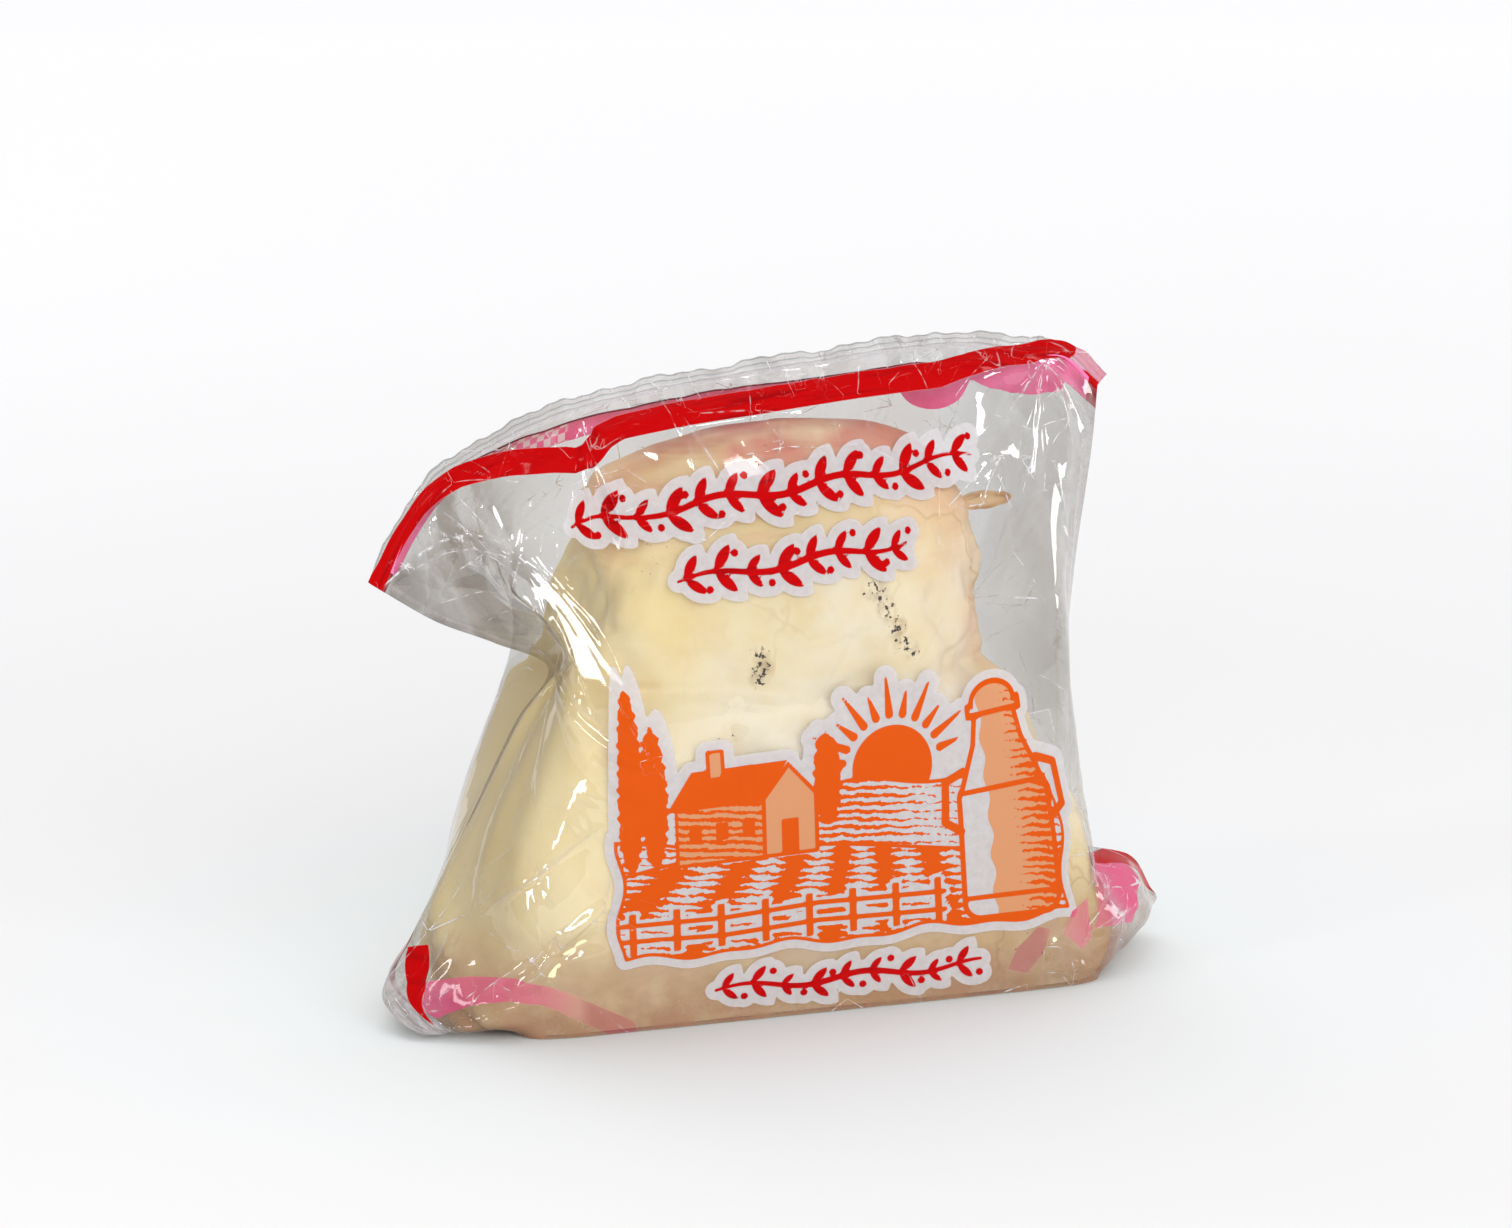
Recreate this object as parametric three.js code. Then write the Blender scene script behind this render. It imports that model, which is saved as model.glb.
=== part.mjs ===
// Smoked provola shut in a clear film bag that stands on its folded base.
// The bag is one solid out to its film: a front and a back panel that start from the flat base,
// bulge over the cheese and meet in the crimped top seal and in the two side edges. The edges
// run out into ears: one at the top left and one at each end of the base.
import * as THREE from "three";

// Driving sizes, in millimetres
const BASE_WIDTH = 128; // flat base, left to right
const BASE_DEPTH = 58; // flat base, front to back
const BASE_SQUARENESS = 12; // power of the base's rounded outline
const FRONT_BULGE = 18; // how far the front panel swells over the cheese
const BACK_BULGE = 15;
const BULGE_RISE = 1.3; // above 1 lifts the fullest height of the bulge
const EDGE_THICKNESS = 1; // the two films and the air between them along an edge
const SEAL_HEIGHT = 3; // crimped seal above the top seam
const SEAL_WAVE = 0.5; // height of the ripples along the seal
const SEAL_RIPPLES = 9;
const BASE_HUB = new THREE.Vector3(-9, 2.5, 0); // point that the base's faces fan out from

// Shares of the way across a panel, from its left edge to its right edge
const LEFT_CORNER = 0.2; // where the base's front left corner lies
const RIGHT_CORNER = 0.9;
const LEFT_EAR_REACH = 0.2; // how far an ear's pull reaches into the panel near the base
const RIGHT_EAR_REACH = 0.1;
const WAIST_REACH = 0.36; // how far the pull of the edge reaches higher up
const EAR_TOP = 0.16; // share of the height at which the ears at the base end
const THIN_RIM = 0.03; // strip along the edges over which the panels close up

// The fold that runs from the waist on the left down across the front corner
const FOLD_START = new THREE.Vector2(0, 0.63); // share across, share up
const FOLD_END = new THREE.Vector2(0.36, 0.4);
const FOLD_DEPTH = 5;
const FOLD_RECOVERY = 0.16; // share of the height over which the film comes out again
const FOLD_EDGE = 0.03;
const FOLD_ROW = 0.53; // share of the grid's rows that lie below the fold

// The pleat that runs down from the top seam, left of the cheese
const PLEAT_PLACE = 0.35; // share across
const PLEAT_WIDTH = 0.06;
const PLEAT_DEPTH = 2.5;
const PLEAT_FOOT = 0.68; // share up where it has run out

// Soft gathers that fan out from the waist
const GATHERS = 5;
const GATHER_DEPTH = 1.2;

// The hollow that the waist draws into the back panel
const WAIST_HEIGHT = 0.48; // share up
const WAIST_SPREAD = 0.2;
const WAIST_DEPTH = 7;

// Steps of the grid
const STEPS_ACROSS = 50;
const STEPS_UP = 36;

// Edge lines: share along the line, then x, y and z
const TOP_SEAM = [
  [0, -90, -18, 93.5],
  [0.07, -82.5, -12, 104],
  [0.15, -73, -6, 112],
  [0.27, -55, -2, 120],
  [0.39, -36, 0, 124.5],
  [0.62, 5, 1, 128.9],
  [0.82, 40, 2, 131],
  [0.9, 57, 5, 128],
  [0.95, 67, 7, 126.5],
  [1, 75.5, 9, 119],
];
const LEFT_EDGE = [
  [0, -64, 0, 0],
  [0.035, -81.5, -20, 0.8],
  [0.07, -88, -9, 6],
  [0.12, -81, -4, 16],
  [0.18, -74, 1, 24.5],
  [0.32, -64.5, 3, 41],
  [0.47, -56, 1, 59],
  [0.61, -50.5, -4, 71],
  [0.74, -63.5, -9, 78.5],
  [0.86, -77, -14, 85],
  [1, -90, -18, 93.5],
];
const RIGHT_EDGE = [
  [0, 64, 0, 0],
  [0.035, 76, -7, 0.8],
  [0.07, 87, 2, 7],
  [0.11, 84, 5, 16],
  [0.17, 69, 4, 22],
  [0.4, 66, 3, 50],
  [0.65, 68, 3, 80],
  [0.88, 73, 6, 106],
  [1, 75.5, 9, 119],
];

const COLOUR_FILM = 0xe9dfbf;

const clamp01 = (x) => Math.min(1, Math.max(0, x));
const smooth = (low, high, x) => THREE.MathUtils.smoothstep(x, low, high);

// Point at share t of an edge line: cubic pieces with slopes from the neighbouring points.
function along(line, t) {
  let i = 0;
  while (i < line.length - 2 && t > line[i + 1][0]) i += 1;
  const span = line[i + 1][0] - line[i][0];
  const x = (t - line[i][0]) / span;
  const slope = (k, axis) => {
    const low = line[Math.max(0, k - 1)];
    const high = line[Math.min(line.length - 1, k + 1)];
    return ((high[axis] - low[axis]) / (high[0] - low[0])) * span;
  };
  const blend = (axis) =>
    line[i][axis] * (2 * x ** 3 - 3 * x ** 2 + 1) +
    slope(i, axis) * (x ** 3 - 2 * x ** 2 + x) +
    line[i + 1][axis] * (3 * x ** 2 - 2 * x ** 3) +
    slope(i + 1, axis) * (x ** 3 - x ** 2);
  return new THREE.Vector3(blend(1), blend(2), blend(3));
}

// Half of the base's rounded outline, from the middle of its left side to that of its right.
function baseOutline(side, s) {
  const left = clamp01(s / LEFT_CORNER);
  const right = clamp01((1 - s) / (1 - RIGHT_CORNER));
  const x = THREE.MathUtils.mapLinear(
    Math.min(Math.max(s, LEFT_CORNER), RIGHT_CORNER),
    LEFT_CORNER,
    RIGHT_CORNER,
    -1,
    1,
  );
  const y = Math.min(left, right);
  const round = (Math.abs(x) ** BASE_SQUARENESS + y ** BASE_SQUARENESS) ** (-1 / BASE_SQUARENESS);
  return new THREE.Vector3((x * round * BASE_WIDTH) / 2, (side * y * round * BASE_DEPTH) / 2, 0);
}

// How far the panel stands out over the cheese.
function bulge(side, s, v) {
  const full = side < 0 ? FRONT_BULGE : BACK_BULGE;
  const narrowing = 0.6 + 0.8 * v;
  return full * Math.sin(Math.PI * v ** BULGE_RISE) * Math.sin(Math.PI * s) ** narrowing;
}

// How far along the fold a share across the panel lies, and how high the fold is there.
const foldRun = (s) => clamp01((s - FOLD_START.x) / (FOLD_END.x - FOLD_START.x));
const foldHeight = (s) => THREE.MathUtils.lerp(FOLD_START.y, FOLD_END.y, foldRun(s));

// Share up at a row of the grid: the rows run along the fold.
function rowHeight(s, row) {
  const fold = foldHeight(s);
  if (row < FOLD_ROW) return (row / FOLD_ROW) * fold;
  return THREE.MathUtils.mapLinear(row, FOLD_ROW, 1, fold, 1);
}

// How deep the film is drawn in below the fold at the waist.
function foldDepth(s, v) {
  const run = foldRun(s);
  const below = foldHeight(s) - v;
  const recovered = Math.exp(-Math.max(0, below) / FOLD_RECOVERY);
  return FOLD_DEPTH * (1 - run) * smooth(0, FOLD_EDGE, below) * recovered;
}

// Ripples of the gathers, strongest along the left edge.
function gatherHeight(s, v) {
  const share = clamp01(1 - s / WAIST_REACH) * smooth(0.12, 0.3, v) * (1 - smooth(0.85, 0.98, v));
  return GATHER_DEPTH * share * Math.sin((2 * Math.PI * GATHERS * s) / WAIST_REACH);
}

// How deep the waist draws in the back panel.
function waistDepth(s, v) {
  const across = clamp01(1 - s / WAIST_REACH);
  return WAIST_DEPTH * across * Math.exp(-(((v - WAIST_HEIGHT) / WAIST_SPREAD) ** 2));
}

// Step of the pleat: the film left of its line lies deeper.
function pleatDepth(s, v) {
  const left = smooth(PLEAT_PLACE - PLEAT_WIDTH * 2, PLEAT_PLACE - PLEAT_WIDTH, s);
  const step = left * (1 - smooth(PLEAT_PLACE, PLEAT_PLACE + PLEAT_WIDTH / 3, s));
  return PLEAT_DEPTH * step * smooth(PLEAT_FOOT, 0.85, v) * (1 - smooth(0.95, 1, v));
}

// Pull of a side edge, fading into the panel from that edge.
function edgePull(distance, v, earReach) {
  const risen = smooth(EAR_TOP, 2.5 * EAR_TOP, v);
  const reach = THREE.MathUtils.lerp(earReach, WAIST_REACH, risen);
  const straight = clamp01(1 - distance / reach);
  return THREE.MathUtils.lerp(straight, smooth(0, 1, straight), risen);
}

// A point of the front (side -1) or back (side 1) panel.
function panelPoint(side, s, v) {
  const base = baseOutline(side, s);
  const point = base.clone().lerp(along(TOP_SEAM, s), v);
  [
    [LEFT_EDGE, 0, s, LEFT_EAR_REACH],
    [RIGHT_EDGE, 1, 1 - s, RIGHT_EAR_REACH],
  ].forEach(([edge, end, distance, earReach]) => {
    const plain = baseOutline(side, end).lerp(along(TOP_SEAM, end), v);
    point.addScaledVector(along(edge, v).sub(plain), edgePull(distance, v, earReach));
  });
  const rim = smooth(0, THIN_RIM, Math.min(s, 1 - s));
  point.y += side * (bulge(side, s, v) + (rim * smooth(0, EAR_TOP / 4, v) * EDGE_THICKNESS) / 2);
  const outward = new THREE.Vector3(
    Math.sign(base.x) * Math.abs((2 * base.x) / BASE_WIDTH) ** BASE_SQUARENESS,
    side * 0.6,
    0,
  ).normalize();
  const frontRelief = gatherHeight(s, v) - foldDepth(s, v) - pleatDepth(s, v);
  const relief = side < 0 ? frontRelief : -waistDepth(s, v);
  point.addScaledVector(outward, relief * rim);
  point.z = Math.max(point.z, 0);
  return point;
}

// A point on the sealed edge above the top seam.
function sealPoint(side, s) {
  const step = 0.01;
  const run = along(TOP_SEAM, Math.min(1, s + step)).sub(along(TOP_SEAM, Math.max(0, s - step)));
  const up = new THREE.Vector3(-run.z, 0, run.x).normalize();
  const wave = SEAL_WAVE * Math.sin(2 * Math.PI * SEAL_RIPPLES * s) * smooth(0, 0.1, Math.min(s, 1 - s));
  const rim = smooth(0, THIN_RIM, Math.min(s, 1 - s));
  const point = along(TOP_SEAM, s).addScaledVector(up, SEAL_HEIGHT);
  point.y += wave + (side * rim * EDGE_THICKNESS) / 2;
  return point;
}

// The panels, the seal and the base as one closed skin with shared edges.
function bagGeometry() {
  const points = [];
  const faces = [];
  const places = new Map();
  const corner = (side, i, j) => {
    const shared = i === 0 || i === STEPS_ACROSS;
    const key = [shared ? -1 : side, i, j].join();
    if (!places.has(key)) {
      const s = i / STEPS_ACROSS;
      places.set(key, points.length);
      points.push(j > STEPS_UP ? sealPoint(side, s) : panelPoint(side, s, rowHeight(s, j / STEPS_UP)));
    }
    return places.get(key);
  };
  const quad = (a, b, c, d) => {
    [
      [a, b, c],
      [a, c, d],
    ].forEach((face) => {
      if (new Set(face).size === 3) faces.push(...face);
    });
  };
  const top = STEPS_UP + 1;
  const hub = points.push(BASE_HUB) - 1;
  for (let i = 0; i < STEPS_ACROSS; i += 1) {
    for (let j = 0; j < top; j += 1) {
      quad(corner(-1, i, j), corner(-1, i + 1, j), corner(-1, i + 1, j + 1), corner(-1, i, j + 1));
      quad(corner(1, i, j), corner(1, i, j + 1), corner(1, i + 1, j + 1), corner(1, i + 1, j));
    }
    faces.push(hub, corner(-1, i + 1, 0), corner(-1, i, 0));
    faces.push(hub, corner(1, i, 0), corner(1, i + 1, 0));
    quad(corner(-1, i, top), corner(-1, i + 1, top), corner(1, i + 1, top), corner(1, i, top));
  }
  const geometry = new THREE.BufferGeometry();
  const numbers = points.flatMap((point) => point.toArray());
  geometry.setAttribute("position", new THREE.Float32BufferAttribute(numbers, 3));
  geometry.setIndex(faces);
  geometry.computeVertexNormals();
  return geometry;
}

const film = new THREE.MeshStandardMaterial({ color: COLOUR_FILM, roughness: 0.25, metalness: 0 });
const bag = new THREE.Mesh(bagGeometry(), film);
bag.name = "bag";

const provola = new THREE.Group();
provola.add(bag);
export default provola;
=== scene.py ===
import math

import bpy
import numpy as np
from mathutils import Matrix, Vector, geometry
from mathutils.bvhtree import BVHTree


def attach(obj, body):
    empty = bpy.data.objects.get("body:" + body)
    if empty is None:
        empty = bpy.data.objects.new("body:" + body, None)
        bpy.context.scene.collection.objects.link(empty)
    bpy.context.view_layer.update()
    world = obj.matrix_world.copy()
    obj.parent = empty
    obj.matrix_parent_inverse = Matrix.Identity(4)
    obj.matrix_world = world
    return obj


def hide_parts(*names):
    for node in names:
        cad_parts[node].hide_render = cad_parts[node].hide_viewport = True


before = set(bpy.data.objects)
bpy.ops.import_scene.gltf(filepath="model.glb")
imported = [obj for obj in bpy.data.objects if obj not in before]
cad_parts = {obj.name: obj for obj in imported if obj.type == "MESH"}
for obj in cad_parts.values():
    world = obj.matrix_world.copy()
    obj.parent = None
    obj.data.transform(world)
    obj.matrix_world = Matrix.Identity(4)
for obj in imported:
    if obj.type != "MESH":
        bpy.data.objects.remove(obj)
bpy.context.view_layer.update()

MM = 0.001
FRONT = -1
BACK = 1
# A distance beyond any ink or bright line, in millimetres
FAR = 50.0

# The bag's form, in millimetres and in shares across and up a panel.
# It follows the part's source, with shallower gathers and a sharper ear at the right of the base.
BASE_WIDTH = 128.0
BASE_DEPTH = 58.0
BASE_SQUARENESS = 12
BULGE = {FRONT: 18.0, BACK: 15.0}
BULGE_RISE = 1.3
BULGE_POWER = (0.6, 1.4)
EDGE_THICKNESS = 1.0
SEAL_HEIGHT = 3.0
SEAL_WAVE = 0.5
SEAL_RIPPLES = 9
SEAL_FADE = 0.1
SEAM_STEP = 0.01
LEFT_CORNER = 0.2
RIGHT_CORNER = 0.9
LEFT_EAR_REACH = 0.2
RIGHT_EAR_REACH = 0.1
WAIST_REACH = 0.36
EAR_TOP = 0.16
THIN_RIM = 0.03
FOLD_START = (0.0, 0.63)
FOLD_END = (0.36, 0.4)
FOLD_DEPTH = 5.0
FOLD_RECOVERY = 0.16
FOLD_EDGE = 0.03
FOLD_ROW = 0.53
PLEAT_PLACE = 0.35
PLEAT_WIDTH = 0.06
PLEAT_DEPTH = 2.5
PLEAT_RISE = (0.68, 0.85)
PLEAT_FALL = (0.95, 1.0)
GATHERS = 5
GATHER_DEPTH = 0.4
GATHER_RISE = (0.12, 0.3)
GATHER_FALL = (0.85, 0.98)
WAIST_HEIGHT = 0.48
WAIST_SPREAD = 0.2
WAIST_DEPTH = 7.0
RELIEF_TILT = 0.6
# Edges of the panels: share along, then x, y and z
TOP_SEAM = np.array([
    (0, -90, -18, 93.5), (0.07, -82.5, -12, 104), (0.15, -73, -6, 112), (0.27, -55, -2, 120),
    (0.39, -36, 0, 124.5), (0.62, 5, 1, 128.9), (0.82, 40, 2, 131), (0.9, 57, 5, 128),
    (0.95, 67, 7, 126.5), (1, 75.5, 9, 119)])
LEFT_EDGE = np.array([
    (0, -64, 0, 0), (0.035, -81.5, -20, 0.8), (0.07, -88, -9, 6), (0.12, -81, -4, 16),
    (0.18, -74, 1, 24.5), (0.32, -64.5, 3, 41), (0.47, -56, 1, 59), (0.61, -50.5, -4, 71),
    (0.74, -63.5, -9, 78.5), (0.86, -77, -14, 85), (1, -90, -18, 93.5)])
RIGHT_EDGE = np.array([
    (0, 64, 0, 0), (0.035, 75, -7, 0.8), (0.062, 84.5, 0.5, 5), (0.07, 87.8, 2, 7.5),
    (0.08, 86.6, 3, 10), (0.105, 84.2, 4.8, 15.4), (0.114, 81.8, 5, 17.4), (0.17, 69, 4, 22),
    (0.4, 66, 3, 50), (0.65, 68, 3, 80), (0.88, 73, 6, 106), (1, 75.5, 9, 119)])


def smooth(low, high, x):
    """0 at low and 1 at high, easing between them; low may be the larger."""
    t = np.clip((np.asarray(x, float) - low) / (high - low), 0, 1)
    return t * t * (3 - 2 * t)


def hump(x, rise, fall):
    """From 0 to 1 over the range rise, and back to 0 over the range fall."""
    return smooth(*rise, x) * smooth(*fall[::-1], x)


def inside_rim(s, width):
    """0 at the side edges of a panel, 1 from a width inside them."""
    return smooth(0, width, np.minimum(s, 1 - s))


def along(line, t):
    """Point at share t of an edge line."""
    t = np.asarray(t, float)
    count = len(line)
    at, p = line[:, 0], line[:, 1:]
    i = np.clip(np.searchsorted(at, t, side="left") - 1, 0, count - 2)
    low = np.maximum(np.arange(count) - 1, 0)
    high = np.minimum(np.arange(count) + 1, count - 1)
    slope = (p[high] - p[low]) / (at[high] - at[low])[:, None]
    span = (at[i + 1] - at[i])[..., None]
    x = (t[..., None] - at[i][..., None]) / span
    start = p[i] * (2 * x**3 - 3 * x**2 + 1) + slope[i] * span * (x**3 - 2 * x**2 + x)
    return start + p[i + 1] * (3 * x**2 - 2 * x**3) + slope[i + 1] * span * (x**3 - x**2)


def base_outline(side, s):
    """Point on the outline of the base at a share across."""
    s = np.asarray(s, float)
    x = (np.clip(s, LEFT_CORNER, RIGHT_CORNER) - LEFT_CORNER) / (RIGHT_CORNER - LEFT_CORNER) * 2 - 1
    y = np.minimum(np.clip(s / LEFT_CORNER, 0, 1), np.clip((1 - s) / (1 - RIGHT_CORNER), 0, 1))
    r = (np.abs(x) ** BASE_SQUARENESS + y**BASE_SQUARENESS) ** (-1 / BASE_SQUARENESS)
    return np.stack([x * r * BASE_WIDTH / 2, side * y * r * BASE_DEPTH / 2, 0 * s], -1)


def fold_run(s):
    return np.clip((s - FOLD_START[0]) / (FOLD_END[0] - FOLD_START[0]), 0, 1)


def fold_height(s):
    return FOLD_START[1] + (FOLD_END[1] - FOLD_START[1]) * fold_run(s)


def row_height(s, row):
    """Share up at a row of the grid: the rows run along the fold."""
    fold = fold_height(s)
    upper = fold + (row - FOLD_ROW) / (1 - FOLD_ROW) * (1 - fold)
    return np.where(row < FOLD_ROW, row / FOLD_ROW * fold, upper)


def fold_depth(s, v):
    below = fold_height(s) - v
    recovered = np.exp(-np.maximum(0, below) / FOLD_RECOVERY)
    return FOLD_DEPTH * (1 - fold_run(s)) * smooth(0, FOLD_EDGE, below) * recovered


def gather_height(s, v):
    share = np.clip(1 - s / WAIST_REACH, 0, 1) * hump(v, GATHER_RISE, GATHER_FALL)
    return GATHER_DEPTH * share * np.sin(2 * np.pi * GATHERS * s / WAIST_REACH)


def waist_depth(s, v):
    hollow = np.exp(-(((v - WAIST_HEIGHT) / WAIST_SPREAD) ** 2))
    return WAIST_DEPTH * np.clip(1 - s / WAIST_REACH, 0, 1) * hollow


def pleat_depth(s, v):
    rise = (PLEAT_PLACE - 2 * PLEAT_WIDTH, PLEAT_PLACE - PLEAT_WIDTH)
    fall = (PLEAT_PLACE, PLEAT_PLACE + PLEAT_WIDTH / 3)
    return PLEAT_DEPTH * hump(s, rise, fall) * hump(v, PLEAT_RISE, PLEAT_FALL)


def edge_pull(distance, v, ear_reach):
    """How far a panel follows its side edge, at a distance from that edge."""
    risen = smooth(EAR_TOP, 2.5 * EAR_TOP, v)
    straight = np.clip(1 - distance / (ear_reach + (WAIST_REACH - ear_reach) * risen), 0, 1)
    return straight + (smooth(0, 1, straight) - straight) * risen


def panel_point(side, s, v):
    """A point of the front or back panel."""
    base = base_outline(side, s)
    p = base + (along(TOP_SEAM, s) - base) * v[..., None]
    edges = ((LEFT_EDGE, 0.0, s, LEFT_EAR_REACH), (RIGHT_EDGE, 1.0, 1 - s, RIGHT_EAR_REACH))
    for edge, end, distance, reach in edges:
        foot = base_outline(side, np.array(end))
        plain = foot + (along(TOP_SEAM, np.array(end)) - foot) * v[..., None]
        p = p + (along(edge, v) - plain) * edge_pull(distance, v, reach)[..., None]
    rim = inside_rim(s, THIN_RIM)
    power = BULGE_POWER[0] + (BULGE_POWER[1] - BULGE_POWER[0]) * v
    swell = BULGE[side] * np.sin(np.pi * v**BULGE_RISE) * np.clip(np.sin(np.pi * s), 0, 1) ** power
    p[..., 1] += side * (swell + rim * smooth(0, EAR_TOP / 4, v) * EDGE_THICKNESS / 2)
    flat = np.sign(base[..., 0]) * np.abs(2 * base[..., 0] / BASE_WIDTH) ** BASE_SQUARENESS
    outward = np.stack([flat, np.full(s.shape, side * RELIEF_TILT), 0 * s], -1)
    outward /= np.linalg.norm(outward, axis=-1, keepdims=True)
    if side == FRONT:
        relief = gather_height(s, v) - fold_depth(s, v) - pleat_depth(s, v)
    else:
        relief = -waist_depth(s, v)
    p = p + outward * (relief * rim)[..., None]
    p[..., 2] = np.maximum(p[..., 2], 0)
    return p


def seal_point(side, s):
    """A point on the sealed edge above the top seam."""
    run = along(TOP_SEAM, np.minimum(1, s + SEAM_STEP)) - along(TOP_SEAM, np.maximum(0, s - SEAM_STEP))
    up = np.stack([-run[..., 2], 0 * s, run[..., 0]], -1)
    up /= np.linalg.norm(up, axis=-1, keepdims=True)
    wave = SEAL_WAVE * np.sin(2 * np.pi * SEAL_RIPPLES * s) * inside_rim(s, SEAL_FADE)
    p = along(TOP_SEAM, s) + up * SEAL_HEIGHT
    p[..., 1] += wave + side * inside_rim(s, THIN_RIM) * EDGE_THICKNESS / 2
    return p


# Grid of the film
ACROSS = 320
UP = 256
SEAL_ROWS = 8
WELD = 0.1
SHUT_FROM = 0.965
# Waves in the height of the seal's cut edge: count along it and height
SEAL_WAVES = [(7, 0.35), (17, 0.25), (41, 0.15)]
# The flat film: places on it are across from the left edge and up from the base
FLAT_WIDTH = 180.0
FLAT_HEIGHT = 134.0


def panel_grid(side):
    """Points of a panel and of the seal above it, with each point's share across and up."""
    s, row = np.meshgrid(np.linspace(0, 1, ACROSS + 1), np.linspace(0, 1, UP + 1), indexing="ij")
    v = row_height(s, row)
    p = panel_point(side, s, v)
    rim = inside_rim(s, THIN_RIM)
    shut = EDGE_THICKNESS / 2 - WELD
    p[..., 1] -= side * shut * rim * smooth(SHUT_FROM, 1, v)
    tip = seal_point(side, s[:, 0])
    ragged = [high * np.sin(2 * np.pi * waves * s[:, 0] + waves) for waves, high in SEAL_WAVES]
    tip[:, 2] += rim[:, 0] * np.sum(ragged, 0)
    tip[:, 1] -= side * shut * rim[:, 0]
    rise = np.linspace(0, 1, SEAL_ROWS + 1)[1:]
    seam = p[:, -1:]
    p = np.concatenate([p, seam + (tip[:, None] - seam) * rise[None, :, None]], 1)
    extra = np.repeat(s[:, :1], SEAL_ROWS, 1)
    s = np.concatenate([s, extra], 1)
    v = np.concatenate([v, 1 + rise[None, :] * SEAL_HEIGHT / FLAT_HEIGHT + 0 * extra], 1)
    return p, s, v


def grid_normals(p, side):
    n = np.cross(np.gradient(p, axis=0), np.gradient(p, axis=1))
    length = np.linalg.norm(n, axis=-1, keepdims=True)
    return -side * n / np.maximum(length, 1e-9)


def depth_below_seam(p):
    """How far along the film each point lies below the top seam; less than zero on the seal."""
    step = np.linalg.norm(np.diff(p, axis=1), axis=-1)
    total = np.concatenate([np.zeros((len(p), 1)), np.cumsum(step, 1)], 1)
    return total[:, UP:UP + 1] - total


# Flat shapes: distances in millimetres, below zero inside
def union(*shapes):
    return np.minimum.reduce(shapes)


def cut(shape, other):
    return np.maximum(shape, -other)


def outline(shape, half):
    return np.abs(shape) - half


def turned(x, y, place, turn):
    """Distances from a place along a direction, turned from x by an angle, and across it."""
    c, k = math.cos(turn), math.sin(turn)
    dx, dy = x - place[0], y - place[1]
    return dx * c + dy * k, dy * c - dx * k


def disc(x, y, middle, r):
    return np.hypot(x - middle[0], y - middle[1]) - r


def oval(x, y, middle, reach):
    dx, dy = x - middle[0], y - middle[1]
    q = np.hypot(dx / reach[0], dy / reach[1])
    return q * (q - 1) / np.maximum(np.hypot(dx / reach[0]**2, dy / reach[1]**2), 1e-6)


def slab(x, y, x0, y0, x1, y1):
    dx = np.maximum(x0 - x, x - x1)
    dy = np.maximum(y0 - y, y - y1)
    return np.hypot(np.maximum(dx, 0), np.maximum(dy, 0)) + np.minimum(np.maximum(dx, dy), 0)


def to_line(x, y, start, end):
    """Share along a straight line, also past its ends, and the distance to the line between its ends."""
    (ax, ay), (bx, by) = start, end
    run_x, run_y = bx - ax, by - ay
    t = ((x - ax) * run_x + (y - ay) * run_y) / max(run_x**2 + run_y**2, 1e-9)
    k = np.clip(t, 0, 1)
    return t, np.hypot(x - ax - k * run_x, y - ay - k * run_y)


def taper(t, least=0.0):
    """1 at the middle of a line, rounding off toward its ends."""
    k = np.clip(t, 0, 1)
    return np.sqrt(np.clip(4 * k * (1 - k), least, 1))


def stroke(x, y, points, half):
    """Distance to a line through points; half is its half width, one number or one for each point."""
    best = np.full(x.shape, np.inf)
    half = np.broadcast_to(np.asarray(half, float), (len(points),))
    for k in range(len(points) - 1):
        t, distance = to_line(x, y, points[k], points[k + 1])
        best = np.minimum(best, distance - (half[k] + np.clip(t, 0, 1) * (half[k + 1] - half[k])))
    return best


def polygon(x, y, points):
    """Distance to a closed outline of straight sides."""
    closed = list(points) + [points[0]]
    d = stroke(x, y, closed, 0.0)
    inside = np.zeros(x.shape, bool)
    for (ax, ay), (bx, by) in zip(closed[:-1], closed[1:]):
        crosses = (ay > y) != (by > y)
        edge = ax + (y - ay) / (by - ay if by != ay else 1e-9) * (bx - ax)
        inside ^= crosses & (x < edge)
    return np.where(inside, -d, d)


# The red stripe near the top: share across, depth below the seam and half width
STRIPE = {
    FRONT: [
        (0.0, -1.2, 2.0), (0.03, -0.9, 1.7), (0.1, -0.2, 1.7), (0.17, 1.2, 2.3), (0.25, 5.2, 2.7),
        (0.335, 9.6, 2.7), (0.352, 10.0, 2.7), (0.372, 7.2, 3.0), (0.395, 6.2, 2.9), (0.6, 6.4, 2.9),
        (0.79, 6.2, 2.9), (0.83, 4.6, 2.5), (0.873, 1.7, 2.3), (0.92, -0.4, 2.1), (0.95, -0.9, 1.9)],
    BACK: [
        (0.0, -0.6, 2.0), (0.12, 0.6, 2.3), (0.3, 5.6, 2.6), (0.8, 6.4, 2.6), (0.87, 5.2, 2.6),
        (0.93, 3.2, 2.6), (1.0, 2.6, 2.4)]}
STRIPE_HALF = 2.6
STRIPE_HEIGHT = 0.6
# Lobes below the back stripe: middle and half width as shares across, and depth
BACK_LOBES = [(0.8, 0.042, 7.2), (0.9, 0.05, 1.2)]
LOBE_TOP = 8.0
SEAM_LENGTH = 195.0


def seam_stroke(s, below, points, half):
    """Distance to a line through points given by share across and depth below the seam."""
    return stroke(s * SEAM_LENGTH, below, [(share * SEAM_LENGTH, depth) for share, depth in points], half)


def stripe_distance(side, s, below):
    shares, depths, halves = zip(*STRIPE[side])
    return seam_stroke(s, below, zip(shares, depths), halves)


# Facets of creased film: least gap between their corners where it is slack, and where it is taut
FACET_SIZES = ((18.0, 26.0), (6.5, 13.0), (3.0, 5.0))
FACET_SEED = {FRONT: 1, BACK: 5}
TRIES_PER_FACET = 12
LARGE_SLOPE = 0.035
MIDDLE_SLOPE = 0.05
SMALL_SLOPE = 0.15
TAUT_LARGE = 0.2
TAUT_MIDDLE = 0.1


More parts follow.
